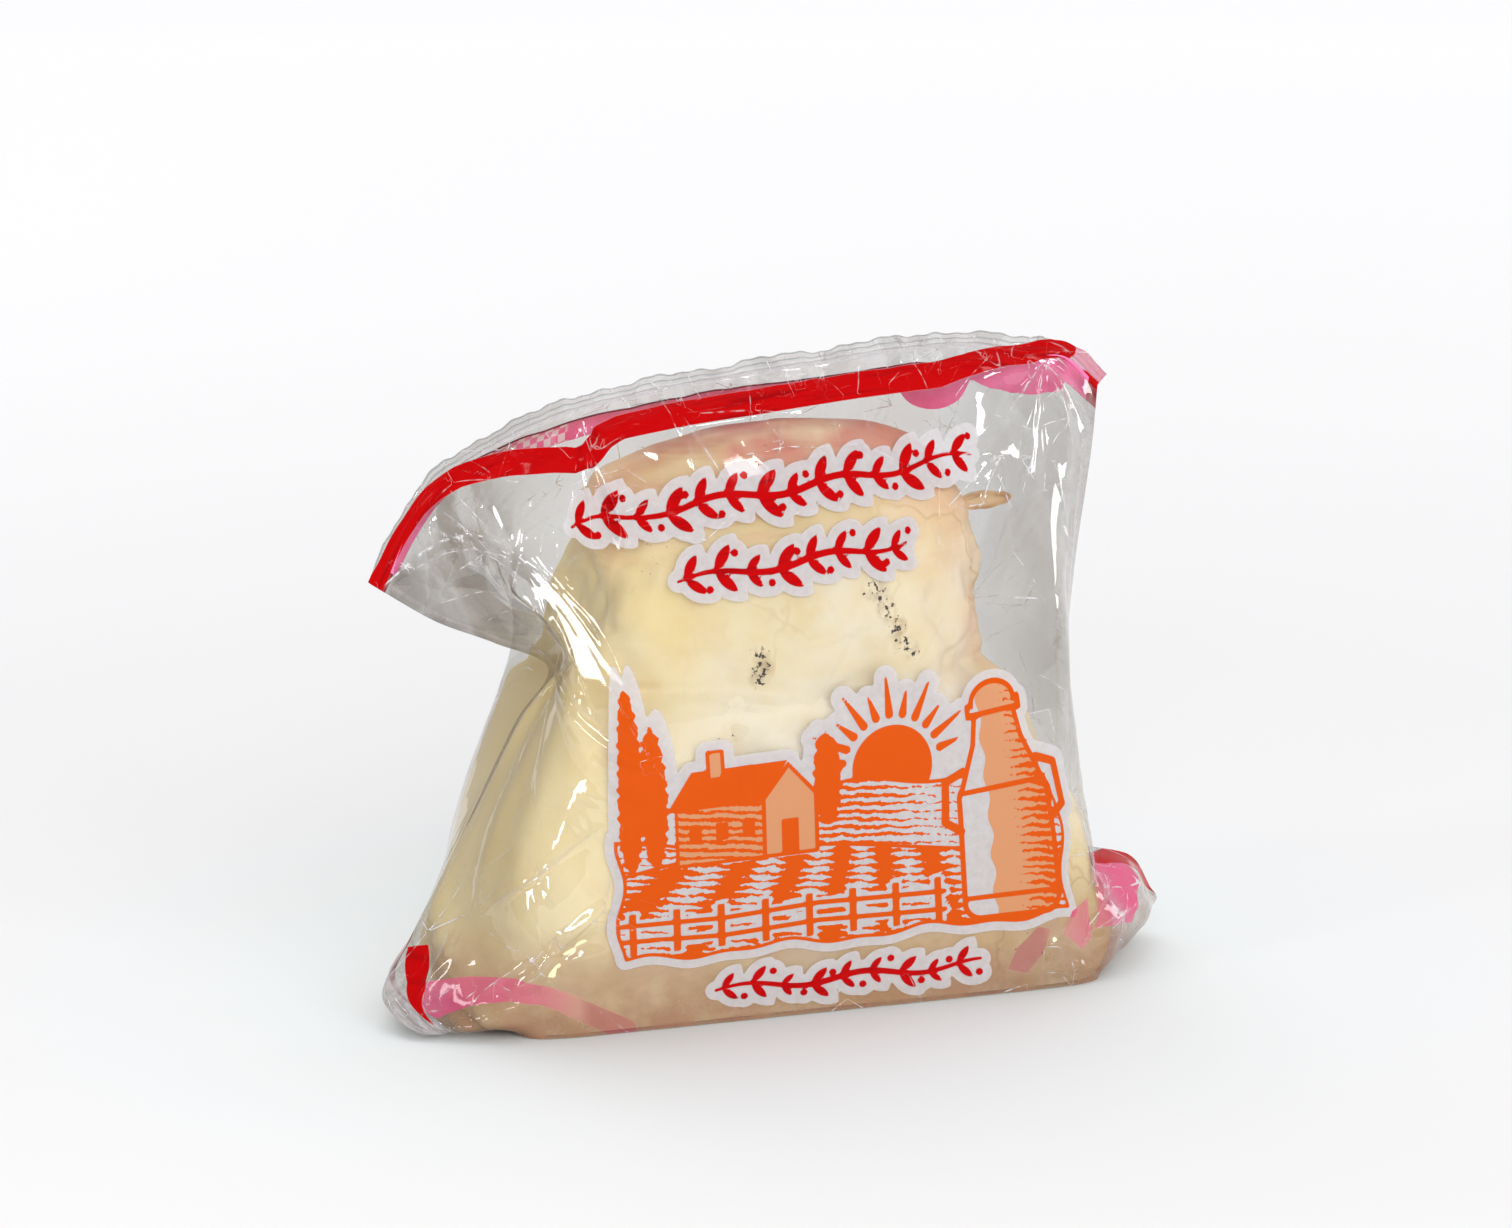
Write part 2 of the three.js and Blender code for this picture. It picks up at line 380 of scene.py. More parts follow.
def slackness(u, w):
    """How loose the film is, from 0 where it lies on the cheese to 1 where it hangs free."""
    s, v = u / FLAT_WIDTH, w / FLAT_HEIGHT
    return 1 - hump(s, (0.2, 0.36), (0.76, 0.88)) * hump(v, (-0.05, 0.1), (0.68, 0.84))


def facet_sites(u, w, least, most, seed):
    """Corners of the facets and their heights: close where the film is slack, wide where it is taut."""
    rng = np.random.default_rng(seed)
    low, high = (u.min() - 2 * most, w.min() - 2 * most), (u.max() + 2 * most, w.max() + 2 * most)
    count = int(TRIES_PER_FACET * (high[0] - low[0]) * (high[1] - low[1]) / least**2)
    tries = rng.uniform(low, high, (count, 2))
    slack = slackness(np.clip(tries[:, 0], 0, FLAT_WIDTH), np.clip(tries[:, 1], 0, FLAT_HEIGHT))
    kept, gaps = np.empty((0, 2)), []
    for q, gap in zip(tries, most + (least - most) * slack):
        if len(kept) == 0 or np.min(np.sum((kept - q) ** 2, 1)) > gap * gap:
            kept = np.vstack([kept, q])
            gaps.append(gap)
    return kept, rng.uniform(-1, 1, len(kept)) * np.array(gaps)


def fill_facets(u, w, corners, faces, height):
    """Heights of a sheet that is flat within each face."""
    out = np.zeros(u.size)
    flat_u, flat_w = u.ravel(), w.ravel()
    order = np.argsort(flat_u)
    sorted_u = flat_u[order]
    slip = 1e-6
    for face in faces:
        a, b, c = corners[list(face)]
        cross = (b[0] - a[0]) * (c[1] - a[1]) - (b[1] - a[1]) * (c[0] - a[0])
        if abs(cross) < 1e-9:
            continue
        ends = np.searchsorted(sorted_u, [min(a[0], b[0], c[0]) - slip, max(a[0], b[0], c[0]) + slip])
        near = order[ends[0]:ends[1]]
        du, dw = flat_u[near] - a[0], flat_w[near] - a[1]
        kb = (du * (c[1] - a[1]) - dw * (c[0] - a[0])) / cross
        kc = (dw * (b[0] - a[0]) - du * (b[1] - a[1])) / cross
        inside = (kb >= -slip) & (kc >= -slip) & (kb + kc <= 1 + slip)
        ha, hb, hc = height[list(face)]
        out[near[inside]] = (ha + kb * (hb - ha) + kc * (hc - ha))[inside]
    return out.reshape(u.shape)


def facets(side, u, w):
    """Heights of a panel's facets at each size, and the start and end of each edge between them."""
    heights, edges = [], []
    for k, size in enumerate(FACET_SIZES):
        sites, height = facet_sites(u, w, *size, FACET_SEED[side] + k)
        made = geometry.delaunay_2d_cdt([Vector(q) for q in sites], [], [], 0, 1e-6)
        corners = np.array([tuple(q) for q in made[0]])
        height = height[[origin[0] for origin in made[3]]]
        heights.append(fill_facets(u, w, corners, made[2], height))
        edges.append(corners[np.array(made[1])])
    return heights, edges


# Creases of the front, each from and to a place on the flat film
FRONT_CREASES = [
    ((166, 132), (161, 107)), ((166, 132), (157, 121)), ((166, 132), (172.5, 113)),
    ((166, 132), (178, 121)), ((163, 117), (157.5, 104)), ((154, 112), (138, 102.5)),
    ((154, 112), (146, 101)), ((167, 110), (172, 88)), ((177, 125), (175, 74)), ((173, 104), (171, 56)),
    ((174, 67), (176, 27)), ((169, 48), (174, 17)), ((162, 40), (167, 5)), ((159, 8), (171, 27)),
    ((5, 129), (34, 108)), ((15, 132), (30, 104)), ((21, 132), (28, 112)), ((27, 131), (32, 116)),
    ((34, 108), (56, 78)), ((34, 108), (23, 100)), ((34, 108), (41, 115)), ((4, 90), (38, 98)),
    ((4, 86), (56, 69)), ((7, 80), (36, 44)), ((56, 78), (69, 54)), ((11, 67), (16, 22)),
    ((18, 24), (54, 48)), ((33, 13), (53, 29)), ((20, 7), (45, 27)), ((53, 29), (58, 48)),
    ((53, 29), (70, 17)), ((63, 132), (67, 107)), ((63, 125), (59, 107)), ((54, 132), (59, 125)),
    ((81, 134), (83, 125)), ((85, 128), (90, 115)), ((101, 134), (99, 127)), ((113, 134), (116, 127)),
    ((126, 134), (123, 127)), ((137, 134), (140, 125))]
CREASE_WIDTH = 1.1
CREASE_HEIGHT = 0.26
# Loose creases lie at random, but run toward the pinch at the left, and upright at the right and the top
LOOSE_CREASES = 130
LOOSE_HEIGHT = (0.03, 0.14)
LOOSE_LENGTH = (6, 26)
LOOSE_FOOT = 2
LOOSE_SEED = {FRONT: 41, BACK: 42}
PINCH = (-6, 86)
PINCHED_WITHIN = (60, 35)
PINCHED_SPREAD = 0.25
UPRIGHT_BEYOND = (150, 112)
UPRIGHT_SPREAD = 0.5
# Where the film is painted white: along creases, where it is partly whitened film and partly painted
# highlight;
# along its side edges and right hem, a painted highlight; and where it is bunched, a painted reflection of
# the floor
WHITE_WIDTH = 0.55
WHITENING = 1.6
EDGE_SHEEN = (1.6, 0.7, 0.8)
HEM_SHEEN = 0.9
# Place on the flat film, reach and strength
BUNCHED_SHEEN = [(3, 7, 9, 1.7), (179, 5, 7, 1.0), (155, 3, 8, 0.6), (14, 12, 10, 0.7)]
BUNCHED_SHEEN_EDGE = (1.2, 0.5)


def ridge(u, w, start, end, width):
    """A crease from start to end: 1 on its line, fading to 0 at its width and at its ends."""
    t, distance = to_line(u, w, start, end)
    return np.clip(1 - distance / width, 0, 1) * taper(t)


def creases(side):
    """The creases of a panel as (start, end, height): drawn ones on the front and loose ones on both."""
    rng = np.random.default_rng(LOOSE_SEED[side])
    made = []
    if side == FRONT:
        made += [(a, b, CREASE_HEIGHT * (1 if k % 3 else -1)) for k, (a, b) in enumerate(FRONT_CREASES)]
    for _ in range(LOOSE_CREASES):
        middle = np.array([rng.uniform(0, FLAT_WIDTH), rng.uniform(LOOSE_FOOT, FLAT_HEIGHT)])
        length = rng.uniform(*LOOSE_LENGTH)
        height = rng.uniform(*LOOSE_HEIGHT) * rng.choice([-1, 1])
        angle = rng.uniform(0, math.pi)
        if middle[0] < PINCHED_WITHIN[0] and middle[1] > PINCHED_WITHIN[1]:
            angle = math.atan2(middle[1] - PINCH[1], middle[0] - PINCH[0]) + rng.normal(0, PINCHED_SPREAD)
        elif middle[0] > UPRIGHT_BEYOND[0] or middle[1] > UPRIGHT_BEYOND[1]:
            angle = math.pi / 2 + rng.normal(0, UPRIGHT_SPREAD)
        way = np.array([math.cos(angle), math.sin(angle)]) * length / 2
        height *= TAUT_LARGE + (1 - TAUT_LARGE) * float(slackness(*middle))
        made.append((middle - way, middle + way, height))
    return made


def crease_relief(side, u, w):
    """Height of the creases, and how white the film is painted: partly whitened film and partly painted
    highlight along the creases, painted highlight at the side edges and hem, painted reflection where
    bunched.
    """
    height, white = np.zeros(u.shape), np.zeros(u.shape)
    for start, end, high in creases(side):
        height += high * ridge(u, w, start, end, CREASE_WIDTH)
        line = ridge(u, w, start, end, WHITE_WIDTH)
        white = np.maximum(white, line * min(1.0, WHITENING * abs(high) / CREASE_HEIGHT))
    inset, half, strength = EDGE_SHEEN
    rim = np.minimum(u, FLAT_WIDTH - u)
    white = np.maximum(white, strength * np.clip(1 - np.abs(rim - inset) / half, 0, 1))
    for cu, cw, reach, strength in BUNCHED_SHEEN:
        white = np.maximum(white, strength * smooth(*BUNCHED_SHEEN_EDGE, np.hypot(u - cu, w - cw) / reach))
    # The right hem is painted white as a highlight along the edge
    hem = smooth(3.8, 2.0, FLAT_WIDTH - u) * hump(w, (55, 70), (126, 131))
    return height, np.maximum(white, HEM_SHEEN * hem)


# Where the film is crumpled: place on the flat film, reach along and across, turn in degrees, strength
CRUMPLES = {
    FRONT: [
        ((44, 93), (18, 6), -52, 0.4), ((62, 68), (10, 1.6), -58, 0.8), ((147, 106), (9, 3.5), 30, 0.8),
        ((168, 126), (9, 5), 15, 0.8), ((43, 21), (13, 4), 38, 1.0), ((9, 9), (9, 7), 0, 1.0),
        ((153, 5), (8, 4), -25, 1.0), ((84, 62), (15, 2), 92, 0.6), ((170, 14), (9, 9), 0, 1.0),
        ((22, 118), (11, 6), 40, 0.5), ((66, 122), (9, 4), 80, 0.8), ((25, 14), (8, 5), 0, 0.8)],
    BACK: [
        ((40, 95), (16, 6), -40, 0.7), ((140, 112), (14, 6), 20, 1.0), ((166, 60), (20, 5), 90, 0.8),
        ((9, 9), (9, 7), 0, 1.0), ((170, 14), (9, 9), 0, 1.0), ((95, 16), (18, 5), 10, 0.8),
        ((60, 120), (14, 5), 70, 0.8)]}
CRUMPLE_EDGE = (1.15, 0.7)
MARGIN_CRUMPLE = 0.8


def oval_reach(u, w, place, reach, turn):
    """How far out of a turned oval each point of the flat film lies: 1 on its outline."""
    lengthwise, across = turned(u, w, place, math.radians(turn))
    return np.hypot(lengthwise / reach[0], across / reach[1])


def crumpled(side, u, w):
    """How crumpled the film is, from 0 to 1; the margin above the stripe is crumpled all along."""
    share = MARGIN_CRUMPLE * smooth(127, 131, w) * smooth(55, 65, u)
    for place, reach, turn, strength in CRUMPLES[side]:
        share = np.maximum(share, strength * smooth(*CRUMPLE_EDGE, oval_reach(u, w, place, reach, turn)))
    return share


# Where creases fan out: centre on the flat film, first and last angle in degrees, count, reach, slope
FANS = {
    FRONT: [
        ((166, 132), (175, 365), 9, 34, 0.2), ((154, 112), (150, 330), 6, 20, 0.16),
        ((34, 108), (-180, 180), 11, 30, 0.08), ((42, 18), (-180, 180), 11, 24, 0.16),
        ((8, 9), (-180, 180), 9, 16, 0.2), ((172, 15), (-180, 180), 9, 16, 0.25),
        ((150, 6), (-180, 180), 9, 18, 0.16), ((63, 132), (200, 340), 7, 26, 0.16),
        ((8, 118), (-90, 90), 7, 26, 0.18)],
    BACK: [
        ((160, 128), (175, 365), 9, 34, 0.2), ((36, 104), (-180, 180), 11, 32, 0.18),
        ((8, 9), (-180, 180), 9, 16, 0.2), ((172, 15), (-180, 180), 9, 16, 0.25),
        ((95, 10), (0, 180), 9, 26, 0.14)]}
FAN_SEED = {FRONT: 71, BACK: 72}


def fans(side, u, w):
    """Creases that fan out from pinched places, with flat film between them."""
    rng = np.random.default_rng(FAN_SEED[side])
    height = np.zeros(u.shape)
    for (cu, cw), (first, last), count, reach, slope in FANS[side]:
        turns = np.linspace(first, last, count) + rng.uniform(-0.3, 0.3, count) * (last - first) / count
        turns[[0, -1]] = first, last
        rises = slope * rng.uniform(0.5, 1, count) * np.where(np.arange(count) % 2, 1, -1)
        rises[[0, -1]] = 0
        away = np.hypot(u - cu, w - cw)
        angle = (np.degrees(np.arctan2(w - cw, u - cu)) - first) % 360 + first
        height += np.interp(angle, turns, rises, 0, 0) * away * np.clip(1 - away / reach, 0, 1) ** 2
    return height


# The folded film below the ear: place on the flat film, turn in degrees, height, and its slopes
FLAP_PLACE = (44, 90)
FLAP_TURN = -52
FLAP_HEIGHT = 1.5
FLAP_RISE = (-6, 5.5)
FLAP_DROP = (7, 5.5)
FLAP_ENDS = (26, 16)
# Where the front's film is pressed flat: place on the flat film, reach along and across, turn in degrees
PRESSED = (FLAP_PLACE, (23, 8), FLAP_TURN)
PRESSED_CALM = 0.85
PRESSED_EDGE = (1.5, 0.9)
CALM_EDGE = (1.2, 0.8)
# Broad ridges of the front: from and to on the flat film, height, half width
FRONT_RIDGES = [
    ((-8, 89), (66, 60), 1.1, 2.0), ((31, 11), (54, 31), 1.3, 2.6), ((148, 9), (162, 2), 1.2, 2.4),
    ((20, 6), (36, 9), 0.9, 2.0), ((180, 15), (164, 11), 2.2, 4.0), ((179, 6), (168, 12), 1.6, 3.0)]
# How the relief dies away: at the side edges and the foot, at the seam, and where the bag is thin
CALM_RIM = 0.035
CALM_FOOT = 0.03
SEAM_CALM = 0.75
ROOM_SHARE = 0.42
CRIMP_HEIGHT = 0.22
CRIMP_PITCH = 1.5
FILM_LIFT = 0.05


def flap(u, w):
    """The folded film below the ear: it rises to its lower left edge and drops there."""
    lengthwise, across = turned(u, w, FLAP_PLACE, math.radians(FLAP_TURN))
    outward = -across
    rise = np.clip((outward - FLAP_RISE[0]) / (FLAP_RISE[1] - FLAP_RISE[0]), 0, 1)
    return FLAP_HEIGHT * rise * smooth(*FLAP_DROP, outward) * smooth(*FLAP_ENDS, np.abs(lengthwise))


def press(p, n, u, w):
    """How far each point of the front moves along its normal to make the pressed place flat."""
    share = smooth(*PRESSED_EDGE, oval_reach(u, w, *PRESSED))
    inside = p[share > 0.5]
    middle = inside.mean(0)
    flat = np.linalg.svd(inside - middle, full_matrices=False)[2][2]
    return share * ((middle - p) @ flat) * np.sign(n @ flat)


def crumple(panel, relief, room):
    """How far the film stands off its smooth form, in millimetres; room is the gap to the other panel."""
    side, u, w, v = panel.side, panel.u, panel.w, panel.v
    slack = slackness(u, w)
    large, middle, small = panel.heights
    height = LARGE_SLOPE * large * (TAUT_LARGE + (1 - TAUT_LARGE) * slack)
    height += MIDDLE_SLOPE * middle * (TAUT_MIDDLE + (1 - TAUT_MIDDLE) * slack)
    height += SMALL_SLOPE * small * crumpled(side, u, w)
    height += relief + fans(side, u, w)
    if side == FRONT:
        height *= 1 - PRESSED_CALM * smooth(*CALM_EDGE, oval_reach(u, w, *PRESSED))
        height += flap(u, w)
        for start, end, high, wide in FRONT_RIDGES:
            height += high * ridge(u, w, start, end, wide)
    fold = np.abs(stripe_distance(side, panel.s, panel.below) + STRIPE_HALF)
    height += STRIPE_HEIGHT * np.clip(1 - fold / STRIPE_HALF, 0, 1)
    height *= inside_rim(panel.s, CALM_RIM) * smooth(0, CALM_FOOT, v) * (1 - SEAM_CALM * smooth(0.97, 1.0, v))
    limit = np.maximum(ROOM_SHARE * room, 1e-6)
    return limit * np.tanh(height / limit)


class Panel:
    """A panel of film: its creased points, and where each lies on the panel and on the flat film."""

    def __init__(self, side):
        self.side = side
        smooth_form, self.s, self.v = panel_grid(side)
        self.u, self.w = self.s * FLAT_WIDTH, self.v * FLAT_HEIGHT
        self.below = depth_below_seam(smooth_form)
        self.normals = grid_normals(smooth_form, side)
        self.heights, self.edges = facets(side, self.u, self.w)
        # white: how white the film is painted, partly whitened film and partly painted highlight and
        # reflection
        relief, self.white = crease_relief(side, self.u, self.w)
        room = np.linalg.norm(smooth_form - panel_grid(-side)[0], axis=-1)
        height = crumple(self, relief, room)
        if side == FRONT:
            height += press(smooth_form, self.normals, self.u, self.w)
        self.points = smooth_form + self.normals * height[..., None]
        crimp = CRIMP_HEIGHT * np.sin(2 * np.pi * (self.w - FLAT_HEIGHT) / CRIMP_PITCH)
        self.points[..., 1] += crimp * (self.v > 1.0005) * inside_rim(self.s, THIN_RIM)
        lifted = np.maximum(self.points[..., 2], FILM_LIFT)
        self.points[..., 2] = np.where(self.v <= 0, 0.0, lifted)


# Bright lines along creases, painted highlights: half widths, and the share of the edges of the facets of a
# size that have one
DRAWN_GLINT = 0.13
GLINT_HALF = (0.07, 0.17)
GLINT_SHARES = ((1, 0.2), (2, 0.34))
GLINT_SEED = {FRONT: 81, BACK: 82}
NEAR_GLINT = 3.0
GLINT_TAPER = 0.1
# The fold across the ear, from its tip to the waist, on the flat film
EAR_FOLD = np.array([(0.0, 134.0), (31.0, 116.0), (56.0, 78.0)])
FOLD_GLINT = 0.4
SMOOTH_FLANK = 0.85


def free_of_cheese(u, w):
    """Less where the film lies on the cheese's left flank, which is smooth, than elsewhere."""
    return 1 - SMOOTH_FLANK * smooth(78, 66, u) * hump(w, (26, 36), (76, 88))


def glint_lines(panel):
    """Start, end and half width of each bright line, a painted highlight."""
    rng = np.random.default_rng(GLINT_SEED[panel.side])
    lines = []
    if panel.side == FRONT:
        for a, b in np.array(FRONT_CREASES, float):
            lines.append((a, b, DRAWN_GLINT * free_of_cheese(*(a + b) / 2)))
        lines += [(a, b, FOLD_GLINT) for a, b in zip(EAR_FOLD[:-1], EAR_FOLD[1:])]
    for size, share in GLINT_SHARES:
        edges = panel.edges[size]
        u, w = edges.mean(1).T
        loose = slackness(u, w) if size == 1 else crumpled(panel.side, u, w)
        chosen = rng.random(len(edges)) < share * loose * free_of_cheese(u, w)
        lines += [(a, b, rng.uniform(*GLINT_HALF)) for a, b in edges[chosen]]
    return lines


def glint(panel):
    """Signed distance to the nearest bright line, a painted highlight, in half widths of that line, which
    thins to its ends.
    """
    u, w = panel.u, panel.w
    best = np.full(u.shape, FAR)
    for a, b, half in glint_lines(panel):
        low, high = np.minimum(a, b) - NEAR_GLINT, np.maximum(a, b) + NEAR_GLINT
        near = (u > low[0]) & (u < high[0]) & (w > low[1]) & (w < high[1])
        t, away = to_line(u[near], w[near], a, b)
        run = b - a
        beside = ((u[near] - a[0]) * run[1] - (w[near] - a[1]) * run[0]) / np.hypot(*run)
        away = np.where((t >= 0) & (t <= 1), beside, away) / (half * taper(t, GLINT_TAPER))
        best[near] = np.where(np.abs(away) < np.abs(best[near]), away, best[near])
    return best


# The print's middle across the panel, as a share, and its scale across, in millimetres a panel
PRINT_CENTRE = 0.55
PRINT_WIDTH = 176.0
# Leafy garlands: from and to across, height, step from leaf to leaf, half length of a leaf
GARLANDS = [(-43, 46, 112.0, 6.4, 3.3), (-23, 27, 98.0, 6.4, 3.2), (-22, 34, 7.4, 6.2, 2.5)]
STEM_POINTS = 70
STEM_WAVE = 0.9
LEAF_SLIMNESS = 0.37
BERRY = 0.8


def leaf(x, y, middle, length, turn):
    """A pointed leaf, given by its half length."""
    width = LEAF_SLIMNESS * length
    lengthwise, across = turned(x, y, middle, turn)
    r = (length**2 + width**2) / (2 * width)
    sides = [np.hypot(lengthwise, across + bend * (r - width)) for bend in (1, -1)]
    return np.maximum(*sides) - r


def garland(x, y, x0, x1, y0, step, size):
    """A leafy branch: a waving stem with pairs of leaves, and berries between them."""
    xs = np.linspace(x0, x1, STEM_POINTS)
    ys = y0 + STEM_WAVE * np.sin((xs - x0) / step * math.pi * 0.5)
    half = 0.3 + 0.4 * np.sin(np.linspace(0.1, math.pi - 0.1, STEM_POINTS))
    shapes = [stroke(x, y, list(zip(xs, ys)), half)]
    for k in range(int((x1 - x0 - size) / step) + 1):
        cx = x0 + (k + 0.2) * step
        cy = np.interp(cx, xs, ys)
        long = size * (0.85 + 0.15 * math.sin(2.4 * k))
        for sign in (-1, 1):
            lean = sign * (0.8 + 0.12 * math.sin(1.7 * k + sign))
            middle = (cx + 1.05 * long * math.cos(lean), cy + 1.05 * long * math.sin(lean))
            shapes.append(leaf(x, y, middle, long, lean))
        aside = 0.9 * size if k % 2 else -0.9 * size
        shapes.append(disc(x, y, (cx + 0.75 * step, cy + aside), BERRY))
    return union(*shapes)


# The farmland picture, across from the print's middle and up from the base: its frame and motifs
PICTURE = (-41, 16.5, 54, 70)
SUN = (17, 53)
SUN_RADIUS = 9
SUN_GLOW = 15
RAYS = 11
RAY_START = 11.3
RAY_ENDS = (16.0, 19.0)
# Cypresses: middle, foot and height
CYPRESSES = [(-38.5, 36, 42), (-33.5, 37, 32), (2.6, 42, 21)]
CYPRESS_HALF = 2.9
SIDE_WALL = (-29, 37, -11, 50)
GABLE = [(-11, 37), (-11, 50), (-5.5, 57), (0, 50), (0, 37)]
ROOF = [(-31, 49.5), (-11.5, 49.5), (-5.5, 58), (-25.5, 58)]
CHIMNEY = (-22, 56, -19, 62)
DOOR = (-7.4, 37, -3.8, 45)
PANES = (-26.5, -21, -15.5)
CAN_BELLY = (35, 20.5, 49, 43)
CAN_CORNER = 3.5
CAN_SHOULDER = [(31.5, 43), (52.5, 43), (48, 54), (47, 60), (37, 60), (36, 54)]
CAN_RIM = (35.5, 60, 48.5, 62.3)
CAN_KNOB = ((42, 62.5), (5.4, 4.0))
CAN_GRIPS = [
    [(33, 49), (28.6, 47.5), (28, 39), (31.5, 36.5)], [(51, 49), (55.4, 47.5), (56, 39), (52.5, 36.5)]]
CAN_BANDS = (21.5, 44.5, 60.3)
CAN_HIGHLIGHT = 38.2
FENCE_RAILS = [[(-41, 21), (-20, 20), (0, 21), (27, 20)], [(-41, 24.6), (-20, 24), (0, 25), (27, 24)]]
FENCE_POSTS = [-39.5 + 9.2 * k for k in range(8)]
VANISHING_POINT = (12, 78)


def sun_rays(a, b):
    shapes = []
    for k in range(RAYS):
        turn = math.radians(12 + 156 * k / (RAYS - 1))
        reach = (RAY_START, RAY_ENDS[k % 2])
        ray = [(SUN[0] + r * math.cos(turn), SUN[1] + r * math.sin(turn)) for r in reach]
        shapes.append(stroke(a, b, ray, (0.95, 0.3)))
    return union(*shapes)


def cypresses(a, b):
    """The crowns of the trees, ragged and plain."""
    crowns, ragged = [], []
    for cx, foot, tall in CYPRESSES:
        crown = oval(a, b, (cx, foot + tall / 2), (CYPRESS_HALF, tall / 2))
        crowns.append(crown)
        ragged.append(crown + (0.25 * np.sin(b * 1.9 + cx) + 0.2 * np.sin(b * 3.1 + a)))
    return union(*ragged), union(*crowns)


def farmhouse(a, b):
    """Side wall, gable, roof, chimney, and the door with the window panes."""
    panes = [slab(a, b, x, 42, x + 2.6, 46) for x in PANES]
    openings = union(slab(a, b, *DOOR), *panes)
    return slab(a, b, *SIDE_WALL), polygon(a, b, GABLE), polygon(a, b, ROOF), slab(a, b, *CHIMNEY), openings


def milk_can(a, b):
    """The can, its grips, and the bands round it."""
    belly = slab(a, b, *CAN_BELLY) - CAN_CORNER
    lid = union(slab(a, b, *CAN_RIM), oval(a, b, *CAN_KNOB))
    can = union(belly, polygon(a, b, CAN_SHOULDER), lid)
    grips = union(*[stroke(a, b, grip, 0.9) for grip in CAN_GRIPS])
    bands = union(*[outline(b - height, 0.55) for height in CAN_BANDS])
    return can, grips, np.maximum(bands, can)


def fence(a, b):
    rails = [stroke(a, b, rail, 0.55) for rail in FENCE_RAILS]
    posts = [slab(a, b, x, 17.5, x + 1.5, 27.3) for x in FENCE_POSTS]
    return union(*rails, *posts)


def countryside(a, b):
    """Farmland in a woodcut style: solid orange, peach, the whole drawing, and the tone of the hatching."""
    wavy = np.sin(a / 5.0) + 0.6 * np.sin(a / 2.3 + 1)
    edge = slab(a + 0.9 * np.sin(b / 3.1), b + 0.7 * wavy, *PICTURE)
    skyline = 46 + 5 * np.sin(a / 15 + 0.4) + 2 * np.sin(a / 6.5 + 1)
    hills = np.maximum(b - skyline, edge)
    fields = np.maximum(b - (35 + 4 * np.sin(a / 21 + 2.2)), edge)
    sun = np.maximum(disc(a, b, SUN, SUN_RADIUS), skyline - b)
    rays = sun_rays(a, b)
    trees, crowns = cypresses(a, b)
    wall, gable, roof, chimney, openings = farmhouse(a, b)
    can, grips, bands = milk_can(a, b)
    rails = fence(a, b)
    house = union(wall, gable, roof, chimney)
    in_front = union(house, can)
    land_lines = outline(cut(hills, in_front), 0.4), outline(cut(np.abs(fields), in_front), 0.4)
    house_lines = outline(gable, 0.45), outline(wall, 0.35), outline(chimney, 0.4), cut(roof, chimney)
    can_lines = outline(can, 0.6), bands, grips
    solid = union(sun, rays, trees, openings, rails, *land_lines, *house_lines, *can_lines)
    highlight = CAN_HIGHLIGHT + 0.5 * np.sin(b / 1.3) - a
    peach = union(np.maximum(can, highlight), gable, wall, chimney)
    tone = np.where(hills < 0, 0.14 + 0.34 * smooth(-0.5, 0.5, np.sin(a / 15 + 2.0)), 0.0)
    furrows = np.sin(30 * np.arctan2(a - VANISHING_POINT[0], VANISHING_POINT[1] - b))
    tone = np.where(fields < 0, 0.62 + 0.42 * furrows, tone)
    tone = np.where(wall < 0.3, 0.42, tone)
    tone = np.where(gable < 0.3, 0.0, tone)
    tone = np.where(can < 0.4, 0.72 * smooth(42, 53, a), tone)
    tone = np.where(rails < 0.9, 0.0, tone)
    drawing = union(hills, sun, rays, disc(a, b, SUN, SUN_GLOW), crowns, house, can, grips)
    return solid, peach, drawing, tone


def front_print(a, b):
    """Distances of the front's print: red ink, solid orange, peach, white backing; and the orange tone."""
    red = union(*[garland(a, b, *sizes) for sizes in GARLANDS])
    solid, peach, drawing, tone = countryside(a, b)
    return red, solid, peach, union(drawing - 2.4, red - 1.9), tone


# Bands on the corners of the base, on the flat film
LEFT_RED = [
    (0.3, 15.5), (5.4, 16.6), (9.0, 13.5), (10.6, 11.0), (7.7, 6.1), (6.2, 9.5), (5.2, 11.6), (2.5, 13.5)]
LEFT_PINK = [(11, 9.6), (22, 11.2), (32, 12.2), (43, 9.0), (57, 0.7)]
LEFT_PINK_HALF = 2.5
RIGHT_PINK = [
    [(164, 27), (174, 23), (178, 16.5), (168, 9.5), (162.5, 11.5), (163.5, 19)],
    [(139.4, 5.2), (142.0, 9.8), (147.0, 13.8), (150.4, 12.8), (147.6, 7.8), (143.8, 3.8)],
    [(152.6, 11.6), (155.8, 16.2), (162.0, 18.6), (162.2, 9.6), (158.6, 7.4)]]
RIGHT_RED = [(173, 22), (181, 17.5), (181, 9), (176.5, 13)]
# The folded top right corner, on the seal: share across and depth below the seam, and half width
CORNER_PINK = ([(0.945, -0.9), (1.0, -0.9)], 2.2)
CORNER_RED = ([(0.982, 0.5), (1.0, 0.3)], 0.9)


def side_print(panel):
    """Distances of the red and pink bands on the edges of a panel."""
    s, below, u, w = panel.s, panel.below, panel.u, panel.w
    red = [stripe_distance(panel.side, s, below), polygon(u, w, LEFT_RED)]
    pink = [np.full(s.shape, FAR)]
    if panel.side == FRONT:
        red += [polygon(u, w, RIGHT_RED), seam_stroke(s, below, *CORNER_RED)]
        pink += [polygon(u, w, band) for band in RIGHT_PINK]
        pink += [stroke(u, w, LEFT_PINK, LEFT_PINK_HALF), seam_stroke(s, below, *CORNER_PINK)]
    else:
        for middle, half, deep in BACK_LOBES:
            centre, reach = (middle * SEAM_LENGTH, LOBE_TOP), (half * SEAM_LENGTH, deep)
            lobe = oval(s * SEAM_LENGTH, below, centre, reach)
            red.append(np.maximum(lobe, LOBE_TOP - STRIPE_HALF - below))
    return union(*red), union(*pink)


